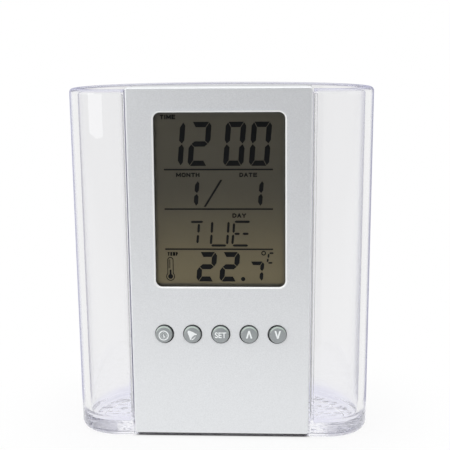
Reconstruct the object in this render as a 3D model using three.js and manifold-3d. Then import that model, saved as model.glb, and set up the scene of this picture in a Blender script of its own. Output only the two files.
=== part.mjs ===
// A pen cup with a clock in its front. The cup is one clear moulding, with a slot in its upright front
// face. The clock is a slim battery module that drops into the slot from above and rides on two rails.
// Millimetres. X runs to the right, Y from the front to the back and Z up. The cup is drawn with its
// widest line on Y = 0, and depths into the clock are counted from the face of its front panel.
import * as THREE from 'three';
import { mergeVertices } from 'three/addons/utils/BufferGeometryUtils.js';
import Module from 'manifold-3d';

// The cup. Its wings are what it reaches past the clock on each side.
const cupWing = 19.45;
const cupCornerRadius = 13;
const cupSideStraight = 0.6;
const cupBackBulge = 35.2;
const cupDraftDegrees = 0.8;
const cupWall = 2.6;
const cupBase = 4.3;
const footFillet = 2.9;
const rimFillet = 1.3;
const rimInnerFillet = 0.5;
const floorFillet = 3;
const footRing = 4;
const footRecess = 0.5;

// The slot in the cup's front, and the rails beside it.
const slotGap = 0.35;
const slotChamfer = 0.55;
const railThickness = 1.2;
const railTopDrop = 1.5;
const railEdge = 0.6;
const beadReach = 1.2;
const beadClearance = 0.4;
const grooveWidth = 2.4;
const grooveDeep = 1.5;

// The front panel of the clock.
const panelTaper = 2.1;
const panelRise = 0.6;
const panelFoot = 1.4;
const panelProud = 0.5;
const panelFace = 2;
const panelSide = 1.6;
const panelFloor = 1.2;
const panelEdgeRadius = 0.6;
const panelCornerRadius = 0.9;
const seatGap = 0.3;

// The window and what lies behind it.
const windowHeight = 55.4;
const windowSideMargin = 7.45;
const windowTopMargin = 7.6;
const windowCorner = 2;
const windowBevel = 0.45;
const lensThickness = 1;
const lensLap = 1.7;
const lensGap = 0.2;
const glassBorder = 1.45;
const glassThickness = 0.7;
const glassLedge = 2.6;
const filmThickness = 0.2;
const filmInset = 0.5;
const trayPlate = 0.9;
const traySide = 1.6;
const trayGap = 0.1;
const contactStripHeight = 2.2;
const contactStripInset = 2;

// The keys.
const keyCount = 5;
const keyFromBay = 5.1;
const keyToWindow = 15.1;
const keyHoleRadius = 3.1;
const keyGap = 0.22;
const keyProud = 1;
const keyCrown = 0.25;
const keyBevel = 0.35;
const keyFlangeLap = 0.5;
const keyFlangeThickness = 0.6;
const keyFlangeGap = 0.1;
const keyStemRadius = 1.6;
const keyStemLength = 0.8;
const keyTravel = 0.6;
const keyRest = 0.1;
const padThickness = 1.2;
const padDomeRadius = 2.6;
const padDomeHeight = 1.2;
const padMarginX = 2.6;
const padMarginZ = 4.3;
const padSideGap = 0.7;

// The circuit board and what it carries.
const boardThickness = 1.2;
const boardFromBay = 0.4;
const boardTopDrop = 6.6;
const boardToSkirt = 0.4;
const boardScrewInset = 2;
const boardScrewRise = 7.7;
const boardScrewLength = 4.4;
const boardPostRadius = 1.5;
const chipRadius = 5;
const chipHeight = 1.5;
const chipRise = 10.7;
const crystalRadius = 1;
const crystalLength = 6;
const crystalX = 14;
const crystalDrop = 4;
const capacitorRadius = 2;
const capacitorLength = 5;
const capacitorX = -14;
const capacitorDrop = 6;
const sensorInset = 8;
const sensorDrop = 7;
const sensorRadius = 1.2;
const sensorHeight = 2.6;
const sensorLeadRadius = 0.3;
const sensorLeadPitch = 1.4;

// The battery cells and their contacts.
const cellRadius = 5.25;
const cellLength = 43.7;
const cellNubRadius = 1.9;
const cellNubLength = 0.8;
const cellSpacing = 0.2;
const cellEdge = 0.5;
const contactThickness = 0.4;
const contactHalfHeight = 4.4;
const contactHalfDepth = 3.6;
const contactGap = 0.1;
const springLength = 4;
const springWireRadius = 0.3;
const springTurns = 3;
const springWideRadius = 3.1;
const springNarrowRadius = 1.9;
const springEndGap = 0.15;

// The rear shell, its battery bay and the door.
const rearWall = 1.5;
const rearCornerRadius = 0.9;
const shelfDepth = 1.5;
const bayWall = 1;
const baySideGap = 0.6;
const bayClearance = 0.15;
const doorCellGap = 0.25;
const doorThickness = 1.3;
const doorLap = 1;
const doorGap = 0.2;
const doorLift = 0.1;
const tabX = 14;
const tabWidth = 4;
const tabReach = 0.6;
const tabThickness = 1.1;
const tongueWidth = 12;
const tongueLength = 6;
const tongueSlot = 0.8;
const gripWidth = 9;
const gripHeight = 3.2;
const gripDepth = 0.6;
const gripRibs = 3;
const gripRibWidth = 0.6;

// The screws, the sounder and the holes in the back.
const upperScrewInset = 5;
const upperScrewDrop = 3.8;
const lowerScrewInset = 1.8;
const lowerScrewGap = 0.7;
const bossRadius = 2;
const bossHoleRadius = 0.8;
const bossRise = 0.8;
const bossFloor = 1;
const postGap = 0.1;
const postRadius = 2.7;
const postWeb = 2.6;
const screwClearRadius = 1.15;
const screwShankRadius = 0.72;
const screwHeadRadius = 1.75;
const screwHeadHeight = 1.3;
const screwHeadBoreRadius = 2;
const screwTipGap = 0.8;
const screwRecess = 0.35;
const screwRecessRadius = 0.6;
const sounderDrop = 17.3;
const sounderRadius = 10;
const sounderPlate = 0.3;
const sounderCrystalRadius = 7;
const sounderCrystal = 0.3;
const sounderSeat = 1.2;
const sounderRimWidth = 1.4;
const sounderHoleRadius = 1;
const sounderHoleRing = 4;
const sounderHoleCount = 6;
const ventCount = 5;
const ventWidth = 1.2;
const ventHeight = 9;
const ventPitch = 2.8;

// One overrun serves every cut and every joint that reaches into its neighbour.
const overrun = 1;
const cornerSteps = 8;
const backSteps = 34;
const filletSteps = 3;
const smallArcSteps = 4;
const roundSides = 24;
const smallSides = 12;
const springSides = 5;
const springStepsPerTurn = 8;

// The cells set the width and the depth of the clock.
const bayHalfWidth = (cellLength + cellNubLength + springLength + contactGap) / 2 + contactThickness + contactGap;
const panelBottomWidth = 2 * (bayHalfWidth + bayWall + baySideGap + panelSide);
const panelTopWidth = panelBottomWidth + panelTaper;
const windowWidth = panelBottomWidth - 2 * windowSideMargin;
const cupWidth = panelTopWidth + 2 * cupWing;
const bayFloor = panelFace + lensGap;
const bayFront = bayFloor + bayWall;
const cellDepth = bayFront + bayClearance + cellRadius;
const doorFront = cellDepth + cellRadius + doorCellGap;
const moduleDepth = doorFront + doorThickness;
const rearInner = moduleDepth - rearWall;

// The heights stack up from the cup's floor: the cells, the keys and the window.
const bodyBottom = cupBase + seatGap;
const bayBottom = bodyBottom + panelFloor + trayGap + bayWall;
const lowerCellZ = bayBottom + bayClearance + cellRadius;
const cellPitch = 2 * cellRadius + cellSpacing;
const bayTop = lowerCellZ + cellPitch + cellRadius + bayClearance;
const keyZ = bayTop + bayWall + keyFromBay;
const windowCentre = keyZ + keyToWindow + windowHeight / 2;
const panelTop = windowCentre + windowHeight / 2 + windowTopMargin;
const cupHeight = panelTop - panelRise;

// The keys set how deep the circuit board lies, and the board sets the rest.
const keyFlangeBack = panelFace + keyFlangeGap + keyFlangeThickness;
const keyStemBack = keyFlangeBack + keyStemLength;
const boardDepth = keyStemBack + keyRest + keyTravel + padDomeHeight + padThickness;
const boardBack = boardDepth + boardThickness;
const panelDepth = boardDepth + boardToSkirt;
const grooveBack = panelDepth + grooveWidth;
const bossTopDepth = boardBack + bossRise;
const behindGroove = grooveDeep + rearWall;
const boardHalfWidth = panelBottomWidth / 2 - behindGroove;
const boardBottom = bayTop + bayWall + boardFromBay;
const boardTop = panelTop - boardTopDrop;
const upperScrewX = boardHalfWidth - upperScrewInset;
const upperScrewZ = panelTop - upperScrewDrop;
const lowerScrewX = boardHalfWidth - lowerScrewInset;
const lowerScrewZ = bayTop + bayWall + bossRadius + lowerScrewGap;
const boardScrewX = boardHalfWidth - boardScrewInset;
const boardScrewZ = keyZ + boardScrewRise;
const padHalfWidth = lowerScrewX - bossRadius - padSideGap;
const keyPitch = (2 * (padHalfWidth - padMarginX)) / (keyCount - 1);
const keyFlangeRadius = keyHoleRadius + keyFlangeLap;
const sensorX = boardHalfWidth - sensorInset;
const chipZ = windowCentre + chipRise;
const crystalZ = chipZ - crystalDrop;
const capacitorZ = chipZ - capacitorDrop;
const sensorZ = boardTop - sensorDrop;
const sounderZ = windowCentre - sounderDrop;

// The cup's faces and the display's place.
const draft = Math.tan(THREE.MathUtils.degToRad(cupDraftDegrees));
const cupFront = -(cupCornerRadius + cupSideStraight);
const cupInnerFront = cupFront + cupWall;
const panelFront = cupFront - panelProud;
const glassFront = panelFace + filmThickness + lensGap;
const glassHalfWidth = windowWidth / 2 + glassBorder;
const glassTop = windowCentre + windowHeight / 2 + glassBorder;
const glassBottom = windowCentre - windowHeight / 2 - glassBorder;

const wasm = await Module();
wasm.setup();

// Turns a three.js geometry into a solid: one shared vertex per corner and no collapsed triangles.
function toSolid(geometry) {
  const bare = geometry.clone();
  bare.deleteAttribute('normal');
  bare.deleteAttribute('uv');
  const merged = mergeVertices(bare);
  const corners = merged.index.array;
  const kept = [];
  for (let i = 0; i < corners.length; i += 3) {
    const [a, b, c] = [corners[i], corners[i + 1], corners[i + 2]];
    if (a !== b && b !== c && c !== a) kept.push(a, b, c);
  }
  const vertProperties = Float32Array.from(merged.attributes.position.array);
  return new wasm.Manifold(new wasm.Mesh({ numProp: 3, vertProperties, triVerts: Uint32Array.from(kept) }));
}

function toGeometry(solid) {
  const { vertProperties, triVerts } = solid.getMesh();
  const geometry = new THREE.BufferGeometry();
  geometry.setAttribute('position', new THREE.BufferAttribute(vertProperties, 3));
  geometry.setIndex(new THREE.BufferAttribute(triVerts, 1));
  geometry.computeVertexNormals();
  return geometry;
}

function joined(solids) {
  return solids.reduce((whole, solid) => whole.add(solid));
}

function without(solid, cuts) {
  return cuts.reduce((left, cut) => left.subtract(cut), solid);
}

// Depth into the clock, as a Y in the cup's frame.
function deep(depth) {
  return panelFront + depth;
}

// Half the clock's width at a height: it narrows towards its foot.
function clockHalfWidth(z) {
  const share = (z - panelFoot) / (panelTop - panelFoot);
  return THREE.MathUtils.lerp(panelBottomWidth, panelTopWidth, share) / 2;
}

function arc(centreX, centreY, radiusX, radiusY, from, to, steps) {
  const points = [];
  for (let i = 0; i <= steps; i += 1) {
    const angle = THREE.MathUtils.lerp(from, to, i / steps);
    points.push(new THREE.Vector2(centreX + radiusX * Math.cos(angle), centreY + radiusY * Math.sin(angle)));
  }
  return points;
}

// A closed skin through outlines of equal point counts. Each section is an outline and its height.
function loft(sections) {
  const count = sections[0].outline.length;
  const positions = sections.flatMap(({ outline, height }) => outline.flatMap((p) => [p.x, p.y, height]));
  const index = [];
  for (let s = 0; s + 1 < sections.length; s += 1) {
    for (let i = 0; i < count; i += 1) {
      const next = (i + 1) % count;
      const [a, b] = [s * count + i, s * count + next];
      index.push(a, b, b + count, a, b + count, a + count);
    }
  }
  const last = (sections.length - 1) * count;
  for (const [a, b, c] of THREE.ShapeUtils.triangulateShape(sections[0].outline, [])) index.push(c, b, a);
  for (const [a, b, c] of THREE.ShapeUtils.triangulateShape(sections.at(-1).outline, [])) {
    index.push(last + a, last + b, last + c);
  }
  const geometry = new THREE.BufferGeometry();
  geometry.setAttribute('position', new THREE.Float32BufferAttribute(positions, 3));
  geometry.setIndex(index);
  return geometry;
}

// A skin through upright outlines (X across, Z up) at depths into the clock, front one first.
function uprightLoft(sections) {
  const standing = sections.map(({ outline, depth }) => ({ outline, height: -deep(depth) })).reverse();
  return toSolid(loft(standing).rotateX(Math.PI / 2));
}

function plate(outline, front, back) {
  return uprightLoft([{ outline, depth: front }, { outline, depth: back }]);
}

function rectangle(left, right, bottom, top, radius = 0) {
  if (radius === 0) {
    return [[left, bottom], [right, bottom], [right, top], [left, top]].map(([x, z]) => new THREE.Vector2(x, z));
  }
  const quarter = Math.PI / 2;
  return [
    ...arc(right - radius, bottom + radius, radius, radius, -quarter, 0, smallArcSteps),
    ...arc(right - radius, top - radius, radius, radius, 0, quarter, smallArcSteps),
    ...arc(left + radius, top - radius, radius, radius, quarter, 2 * quarter, smallArcSteps),
    ...arc(left + radius, bottom + radius, radius, radius, 2 * quarter, 3 * quarter, smallArcSteps),
  ];
}

// The clock's outline between two heights, drawn in by an inset all round, with rounded corners.
function clockOutline(bottom, top, inset, radius) {
  const [low, high] = [bottom + inset, top - inset];
  const quarter = Math.PI / 2;
  const lowX = clockHalfWidth(low) - inset - radius;
  const highX = clockHalfWidth(high) - inset - radius;
  return [
    ...arc(lowX, low + radius, radius, radius, -quarter, 0, smallArcSteps),
    ...arc(highX, high - radius, radius, radius, 0, quarter, smallArcSteps),
    ...arc(-highX, high - radius, radius, radius, quarter, 2 * quarter, smallArcSteps),
    ...arc(-lowX, low + radius, radius, radius, 2 * quarter, 3 * quarter, smallArcSteps),
  ];
}

// A four-sided outline that follows the clock's slanting sides between two heights, spread by a margin.
function slantOutline(bottom, top, spread) {
  const [low, high] = [clockHalfWidth(bottom) + spread, clockHalfWidth(top) + spread];
  return [[-low, bottom], [low, bottom], [high, top], [-high, top]].map(([x, z]) => new THREE.Vector2(x, z));
}

// A strip beside one of the clock's slanting sides, from one spread to a wider one.
function sideStrip(side, bottom, top, nearSpread, farSpread) {
  const at = (z, spread) => new THREE.Vector2(side * (clockHalfWidth(z) + spread), z);
  const strip = [at(bottom, nearSpread), at(bottom, farSpread), at(top, farSpread), at(top, nearSpread)];
  return side > 0 ? strip : strip.reverse();
}

function box(left, right, front, back, bottom, top) {
  const geometry = new THREE.BoxGeometry(right - left, back - front, top - bottom);
  geometry.translate((left + right) / 2, deep((front + back) / 2), (bottom + top) / 2);
  return toSolid(geometry);
}

// A bar across the clock. Its section gives depth and height.
function bar(section, left, right) {
  const shape = new THREE.Shape(section.map(([depth, z]) => new THREE.Vector2(depth, z)));
  const geometry = new THREE.ExtrudeGeometry(shape, { depth: right - left, bevelEnabled: false });
  const [alongX, alongY, alongZ] = [0, 1, 2].map((axis) => new THREE.Vector3().setComponent(axis, 1));
  geometry.applyMatrix4(new THREE.Matrix4().makeBasis(alongY, alongZ, alongX));
  geometry.translate(left, panelFront, 0);
  return toSolid(geometry);
}

// A round bar along the depth of the clock.
function rod(x, z, radius, front, back, sides = smallSides) {
  const geometry = new THREE.CylinderGeometry(radius, radius, back - front, sides);
  geometry.translate(x, deep((front + back) / 2), z);
  return toSolid(geometry);
}

// A round bar across the clock.
function crossRod(z, depth, radius, left, right, sides = smallSides) {
  const geometry = new THREE.CylinderGeometry(radius, radius, right - left, sides);
  geometry.rotateZ(Math.PI / 2);
  geometry.translate((left + right) / 2, deep(depth), z);
  return toSolid(geometry);
}

// A turned body on an axis along the depth. The profile gives radius and depth, front end last.
function turned(x, z, profile, sides = roundSides) {
  const points = profile.map(([radius, depth]) => new THREE.Vector2(radius, -depth));
  const geometry = new THREE.LatheGeometry(points, sides);
  geometry.rotateX(Math.PI);
  geometry.translate(x, panelFront, z);
  return toSolid(geometry);
}

// The cup's plan at a height, drawn in by an inset. Only the sides and the back lean with the draft.
function cupPlan(height, inset) {
  const lean = draft * (cupHeight - height);
  const halfWidth = cupWidth / 2 - lean - inset;
  const bulge = cupBackBulge - lean - inset;
  const radius = cupCornerRadius - inset;
  const cornerX = halfWidth - radius;
  const quarter = Math.PI / 2;
  return [
    ...arc(cornerX, -cupSideStraight, radius, radius, -quarter, 0, cornerSteps),
    ...arc(0, 0, halfWidth, bulge, 0, 2 * quarter, backSteps),
    ...arc(-cornerX, -cupSideStraight, radius, radius, 2 * quarter, 3 * quarter, cornerSteps),
  ];
}

// Heights and insets along a quarter round.
function quarterRound(height, inset, radius, rise, spread) {
  const steps = [];
  for (let i = 0; i <= filletSteps; i += 1) {
    const angle = (i / filletSteps) * (Math.PI / 2);
    steps.push([height + rise(angle) * radius, inset + spread(angle) * radius]);
  }
  return steps;
}

function makeCup() {
  const up = (angle) => 1 - Math.cos(angle);
  const path = [
    [footRecess, footFillet + footRing],
    [0, footFillet + footRing],
    ...quarterRound(0, footFillet, footFillet, up, (angle) => -Math.sin(angle)),
    ...quarterRound(cupHeight - rimFillet, 0, rimFillet, Math.sin, up),
    ...quarterRound(cupHeight, cupWall - rimInnerFillet, rimInnerFillet, (angle) => -up(angle), Math.sin),
    ...quarterRound(cupBase + floorFillet, cupWall, floorFillet, (angle) => -Math.sin(angle), up),
  ];
  const shell = toSolid(loft(path.map(([height, inset]) => ({ outline: cupPlan(height, inset), height }))));

  const inFront = -overrun;
  const wallBack = cupInnerFront - panelFront;
  const slot = plate(slantOutline(-overrun, cupHeight + overrun, slotGap), inFront, wallBack);
  const bay = plate(slantOutline(cupBase, cupHeight + overrun, slotGap), inFront, moduleDepth + seatGap);
  const mouth = uprightLoft([
    { outline: slantOutline(-overrun, cupHeight + overrun, slotGap + slotChamfer + panelProud + overrun), depth: inFront },
    { outline: slantOutline(-overrun, cupHeight + overrun, slotGap), depth: panelProud + slotChamfer },
  ]);
  const rails = [-1, 1].flatMap((side) => {
    const [bottom, top] = [cupBase - overrun, cupHeight - railTopDrop];
    const web = sideStrip(side, bottom, top, slotGap, slotGap + railThickness);
    const bead = sideStrip(side, bottom, top, slotGap - beadReach, slotGap + railThickness);
    return [
      plate(web, wallBack - overrun, grooveBack + railEdge),
      plate(bead, panelDepth + beadClearance, grooveBack - beadClearance),
    ];
  });
  return joined([without(shell, [slot, bay, mouth]), ...rails]);
}

// Each key's centre.
function keyX(number) {
  return (number - (keyCount - 1) / 2) * keyPitch;
}

const screwPlaces = [
  [-upperScrewX, upperScrewZ],
  [upperScrewX, upperScrewZ],
  [-lowerScrewX, lowerScrewZ],
  [lowerScrewX, lowerScrewZ],
];
const boardScrewPlaces = [[-boardScrewX, boardScrewZ], [boardScrewX, boardScrewZ]];

function windowOutline(spread, radius) {
  const [halfWidth, halfHeight] = [windowWidth / 2 + spread, windowHeight / 2 + spread];
  return rectangle(-halfWidth, halfWidth, windowCentre - halfHeight, windowCentre + halfHeight, radius);
}

// The panel is a shallow tray: a rounded face with the window and the key holes, and a skirt behind it.
function makeFrontPanel() {
  const rounded = [];
  for (let i = 0; i <= filletSteps; i += 1) {
    const angle = (i / filletSteps) * (Math.PI / 2);
    const inset = panelEdgeRadius * (1 - Math.sin(angle));
    const outline = clockOutline(panelFoot, panelTop, inset, panelCornerRadius - inset);
    rounded.push({ outline, depth: panelEdgeRadius * (1 - Math.cos(angle)) });
  }
  const outer = uprightLoft([...rounded, { outline: rounded.at(-1).outline, depth: panelDepth }]);
  const halfWidth = panelTopWidth / 2 + overrun;
  const lipRelief = box(-halfWidth, halfWidth, panelFace, panelDepth + overrun, 0, bodyBottom);
  const hollow = plate(
    clockOutline(bodyBottom + panelFloor - panelSide, panelTop, panelSide, panelCornerRadius),
    panelFace,
    panelDepth + overrun,
  );
  const faceLip = panelFace - lensThickness;
  const opening = uprightLoft([
    { outline: windowOutline(windowBevel, windowCorner), depth: -faceLip },
    { outline: windowOutline(-windowBevel, windowCorner), depth: faceLip },
  ]);
  const clearOpening = plate(windowOutline(-windowBevel, windowCorner), 0, panelFace);
  const rebate = plate(windowOutline(lensLap + lensGap, windowCorner), faceLip, panelFace + overrun);
  const keyHoles = Array.from({ length: keyCount }, (_, number) =>
    rod(keyX(number), keyZ, keyHoleRadius, -overrun, panelFace + overrun, roundSides));
  const tray = without(outer, [lipRelief, hollow, opening, clearOpening, rebate, ...keyHoles]);

  const bosses = screwPlaces.map(([x, z]) => rod(x, z, bossRadius, panelFace - lensGap, bossTopDepth));
  const boardPosts = boardScrewPlaces.map(([x, z]) => rod(x, z, boardPostRadius, panelFace - lensGap, boardDepth));
  const screwHoles = screwPlaces.map(([x, z]) =>
    rod(x, z, bossHoleRadius, panelFace + bossFloor, bossTopDepth + overrun));
  const postHoles = boardScrewPlaces.map(([x, z]) =>
    rod(x, z, bossHoleRadius, panelFace + bossFloor, boardDepth + overrun));
  return without(joined([tray, ...bosses, ...boardPosts]), [...screwHoles, ...postHoles]);
}

function makeLens() {
  return plate(windowOutline(lensLap, windowCorner - lensGap), panelFace - lensThickness, panelFace);
}

function makeFilm(front) {
  const halfWidth = glassHalfWidth - filmInset;
  const outline = rectangle(-halfWidth, halfWidth, glassBottom + filmInset, glassTop - filmInset);
  return plate(outline, front, front + filmThickness);
}

function makeGlass(front, ledge) {
  return box(-glassHalfWidth, glassHalfWidth, front, front + glassThickness, glassBottom - ledge, glassTop);
}

// The tray holds the glass from behind and from both sides, and stands on the board by four feet.
function makeTray() {
  const plateFront = glassFront + 2 * glassThickness + filmThickness + trayGap;
  const plateBack = plateFront + trayPlate;
  const inner = glassHalfWidth + trayGap;
  const back = box(-inner, inner, plateFront, plateBack, glassBottom, glassTop);
  const sides = [-1, 1].map((side) => {
    const [near, far] = [side * inner, side * (inner + traySide)];
    const [left, right] = [Math.min(near, far), Math.max(near, far)];
    return box(left, right, glassFront, plateBack, glassBottom - glassLedge, glassTop);
  });
  const footX = inner - traySide;
  const feet = [-1, 1].flatMap((side) => [glassBottom + footX / 2, glassTop - footX / 2].map((z) =>
    rod(side * footX, z, boardPostRadius, plateBack - lensGap, boardDepth)));
  return joined([back, ...sides, ...feet]);
}

function makeContactStrip() {
  const half = glassHalfWidth - contactStripInset;
  const bottom = glassBottom - contactStripHeight - (glassLedge - contactStripHeight) / 2;
  return box(-half, half, glassFront + glassThickness, boardDepth, bottom, bottom + contactStripHeight);
}

function makeBoard() {
  const blank = box(-boardHalfWidth, boardHalfWidth, boardDepth, boardBack, boardBottom, boardTop);
  const corners = screwPlaces.map(([x, z]) => rod(x, z, bossRadius + seatGap, boardDepth - overrun, boardBack + overrun));
  const edges = [-1, 1].map((side) => {
    const [near, far] = [side * lowerScrewX, side * (boardHalfWidth + overrun)];
    const [left, right] = [Math.min(near, far), Math.max(near, far)];
    const reach = bossRadius + seatGap;
    return box(left, right, boardDepth - overrun, boardBack + overrun, lowerScrewZ - reach, lowerScrewZ + reach);
  });
  const holes = boardScrewPlaces.map(([x, z]) =>
    rod(x, z, screwClearRadius, boardDepth - overrun, boardBack + overrun));
  return without(blank, [...corners, ...edges, ...holes]);
}

// A bead of potting resin over the chip: a flat-bottomed cap of a sphere.
function makeChip() {
  const sphereRadius = (chipRadius * chipRadius + chipHeight * chipHeight) / (2 * chipHeight);
  const edgeAngle = Math.asin(chipRadius / sphereRadius);
  const profile = arc(0, chipHeight - sphereRadius, sphereRadius, sphereRadius, Math.PI / 2, Math.PI / 2 - edgeAngle, smallArcSteps);
  const outline = profile.map((p) => [p.x, boardBack + p.y]);
  return turned(0, chipZ, [...outline, [0, boardBack]]);
}

function makeCrystal() {
  return crossRod(crystalZ, boardBack + crystalRadius, crystalRadius, crystalX - crystalLength / 2, crystalX + crystalLength / 2);
}

function makeCapacitor() {
  const half = capacitorLength / 2;
  return crossRod(capacitorZ, boardBack + capacitorRadius, capacitorRadius, capacitorX - half, capacitorX + half);
}

function makeSensor() {
  const bead = new THREE.SphereGeometry(sensorRadius, smallSides, smallSides / 2);
  bead.translate(sensorX, deep(boardBack + sensorHeight), sensorZ);
  const leads = [-1, 1].map((side) =>
    rod(sensorX + (side * sensorLeadPitch) / 2, sensorZ, sensorLeadRadius, boardBack, boardBack + sensorHeight, 6));
  return joined([toSolid(bead), ...leads]);
}

// A key cap is turned: a low crown, a bevelled edge, a flange that stays behind the panel, and a stem.
function makeKey(number) {
  const radius = keyHoleRadius - keyGap;
  const flangeFront = panelFace + keyFlangeGap;
  const faceRadius = radius - keyBevel;
  return turned(keyX(number), keyZ, [
    [0, keyStemBack],
    [keyStemRadius, keyStemBack],
    [keyStemRadius, keyFlangeBack],
    [keyFlangeRadius, keyFlangeBack],
    [keyFlangeRadius, flangeFront],
    [radius, flangeFront],
    [radius, keyBevel - keyProud],
    [faceRadius, -keyProud],
    [faceRadius / 2, -keyProud - keyCrown * 0.75],
    [0, -keyProud - keyCrown],
  ]);
}

// The rubber pad lies on the board, with one dome under each key.
function makePad() {
  const sheet = box(-padHalfWidth, padHalfWidth, boardDepth - padThickness, boardDepth, keyZ - padMarginZ, keyZ + padMarginZ);
  const top = boardDepth - padThickness - padDomeHeight;
  const domes = Array.from({ length: keyCount }, (_, number) => turned(keyX(number), keyZ, [
    [0, boardDepth - padThickness / 2],
    [padDomeRadius, boardDepth - padThickness / 2],
    [padDomeRadius, boardDepth - padThickness],
    [keyStemRadius, top],
    [0, top],
  ], smallSides));
  return joined([sheet, ...domes]);
}

// The rear shell is a tray like the panel, with the side grooves, the battery bay, posts and holes.
function makeRearShell() {
  const rounded = clockOutline(bodyBottom, panelTop, 0, rearCornerRadius);
  const outer = plate(rounded, panelDepth, moduleDepth);
  const grooves = [-1, 1].map((side) =>
    plate(sideStrip(side, 0, panelTop + overrun, -grooveDeep, overrun), panelDepth - overrun, grooveBack));
  const frontHollow = plate(
    clockOutline(bodyBottom + rearWall - behindGroove, panelTop - rearWall + behindGroove, behindGroove, rearCornerRadius),
    panelDepth - overrun,
    grooveBack + shelfDepth,
  );
  const backHollow = plate(clockOutline(bodyBottom, panelTop, rearWall, rearCornerRadius), grooveBack, rearInner);
  const skin = without(outer, [...grooves, frontHollow, backHollow]);

  const bayOuter = bayHalfWidth - trayGap;
  const behindPanel = panelDepth + overrun;
  const bayWalls = joined([
    box(-bayOuter - bayWall + trayGap, bayOuter + bayWall - trayGap, bayFloor, behindPanel, bayBottom - bayWall, bayTop + bayWall),
    box(-bayHalfWidth - bayWall, bayHalfWidth + bayWall, panelDepth, doorFront - doorLift, bodyBottom, bayTop + bayWall),
  ]);
  const posts = screwPlaces.map(([x, z]) => rod(x, z, postRadius, bossTopDepth + postGap, rearInner + rearWall / 2));
  const ringBack = rearInner + rearWall / 2;
  const ringFront = rearInner - sounderSeat;
  const ring = rod(0, sounderZ, sounderRadius, ringFront, ringBack, roundSides)
    .subtract(rod(0, sounderZ, sounderRadius - sounderRimWidth, ringFront - overrun, ringBack + overrun, roundSides));
  const insideOnly = plate(rounded, bayFloor - overrun, moduleDepth - rearWall / 2);
  const added = joined([bayWalls, ...posts, ring]).intersect(insideOnly);

  const bay = box(-bayHalfWidth, bayHalfWidth, bayFront, moduleDepth + overrun, bayBottom, bayTop);
  const doorSeat = box(
    -bayHalfWidth - doorLap - doorGap,
    bayHalfWidth + doorLap + doorGap,
    doorFront - doorLift,
    moduleDepth + overrun,
    bayBottom - doorLap - doorGap,
    bayTop + doorLap + doorGap,
  );
  const tabPockets = [-1, 1].map((side) => {
    const half = tabWidth / 2 + doorGap;
    const [front, back] = [doorFront - tabThickness - 2 * seatGap, doorFront];
    const bottom = bayBottom - doorLap - tabReach - seatGap;
    return box(side * tabX - half, side * tabX + half, front, back, bottom, bayBottom + overrun);
  });
  const webBack = bossTopDepth + postGap + postWeb;
  const screwBores = screwPlaces.flatMap(([x, z]) => [
    rod(x, z, screwClearRadius, bossTopDepth - overrun, webBack + overrun),
    rod(x, z, screwHeadBoreRadius, webBack, moduleDepth + overrun),
  ]);
  const soundHoles = Array.from({ length: sounderHoleCount }, (_, number) => {
    const angle = (number / sounderHoleCount) * 2 * Math.PI;
    const [x, z] = [sounderHoleRing * Math.cos(angle), sounderZ + sounderHoleRing * Math.sin(angle)];
    return rod(x, z, sounderHoleRadius, rearInner - overrun, moduleDepth + overrun, 8);
  });
  const vents = Array.from({ length: ventCount }, (_, number) => {
    const x = sensorX + (number - (ventCount - 1) / 2) * ventPitch;
    const outline = rectangle(x - ventWidth / 2, x + ventWidth / 2, sensorZ - ventHeight / 2, sensorZ + ventHeight / 2);
    return plate(outline, rearInner - overrun, moduleDepth + overrun);
  });
  const cuts = [bay, doorSeat, ...tabPockets, ...screwBores, ...soundHoles, ...vents];
  return without(joined([skin, added]), cuts);
}

// The door tilts out about its lower edge, where two hooks reach under the shell's edge. A springy
// tongue between two slots at its top has the ribbed place for a fingertip.
function makeDoor() {
  const half = bayHalfWidth + doorLap;
  const [bottom, top] = [bayBottom - doorLap, bayTop + doorLap];
  const slab = plate(rectangle(-half, half, bottom, top, doorGap), doorFront, moduleDepth);
  const hookFront = doorFront - tabThickness;
  const hooks = [-1, 1].map((side) => bar(
    [
      [hookFront, bottom - tabReach],
      [doorFront - doorLift, bottom - tabReach],
      [doorFront - doorLift, bottom],
      [doorFront + doorThickness / 2, bottom + doorLap / 2],
      [doorFront + doorThickness / 2, bottom + doorLap],
      [hookFront, bottom + doorLap],
    ],
    side * tabX - tabWidth / 2,
    side * tabX + tabWidth / 2,
  ));
  const slots = [-1, 1].map((side) => {
    const x = (side * (tongueWidth + tongueSlot)) / 2;
    return box(x - tongueSlot / 2, x + tongueSlot / 2, doorFront - overrun, moduleDepth + overrun, top - tongueLength, top + overrun);
  });
  const gripMiddle = top - tongueLength / 2;
  const [gripBottom, gripTop] = [gripMiddle - gripHeight / 2, gripMiddle + gripHeight / 2];
  const grip = box(-gripWidth / 2, gripWidth / 2, moduleDepth - gripDepth, moduleDepth + overrun, gripBottom, gripTop);
  const ribs = Array.from({ length: gripRibs }, (_, number) => {
    const z = gripTop - ((number + 1) * gripHeight) / (gripRibs + 1);
    const section = [[-1, -1], [0, 1], [1, -1]].map(([width, rise]) => [
      moduleDepth - gripDepth * (1 - (rise * 3) / 4),
      z + (width * gripRibWidth) / 2,
    ]);
    return bar(section, -gripWidth / 2, gripWidth / 2);
  });
  return joined([without(joined([slab, ...hooks]), [...slots, grip]), ...ribs]);
}

// Cells lie across the clock. The lower one has its nub to the right and the upper one to the left.
const cellPlaces = [{ z: lowerCellZ, side: 1 }, { z: lowerCellZ + cellPitch, side: -1 }];
const contactInner = bayHalfWidth - contactGap - contactThickness;

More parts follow.
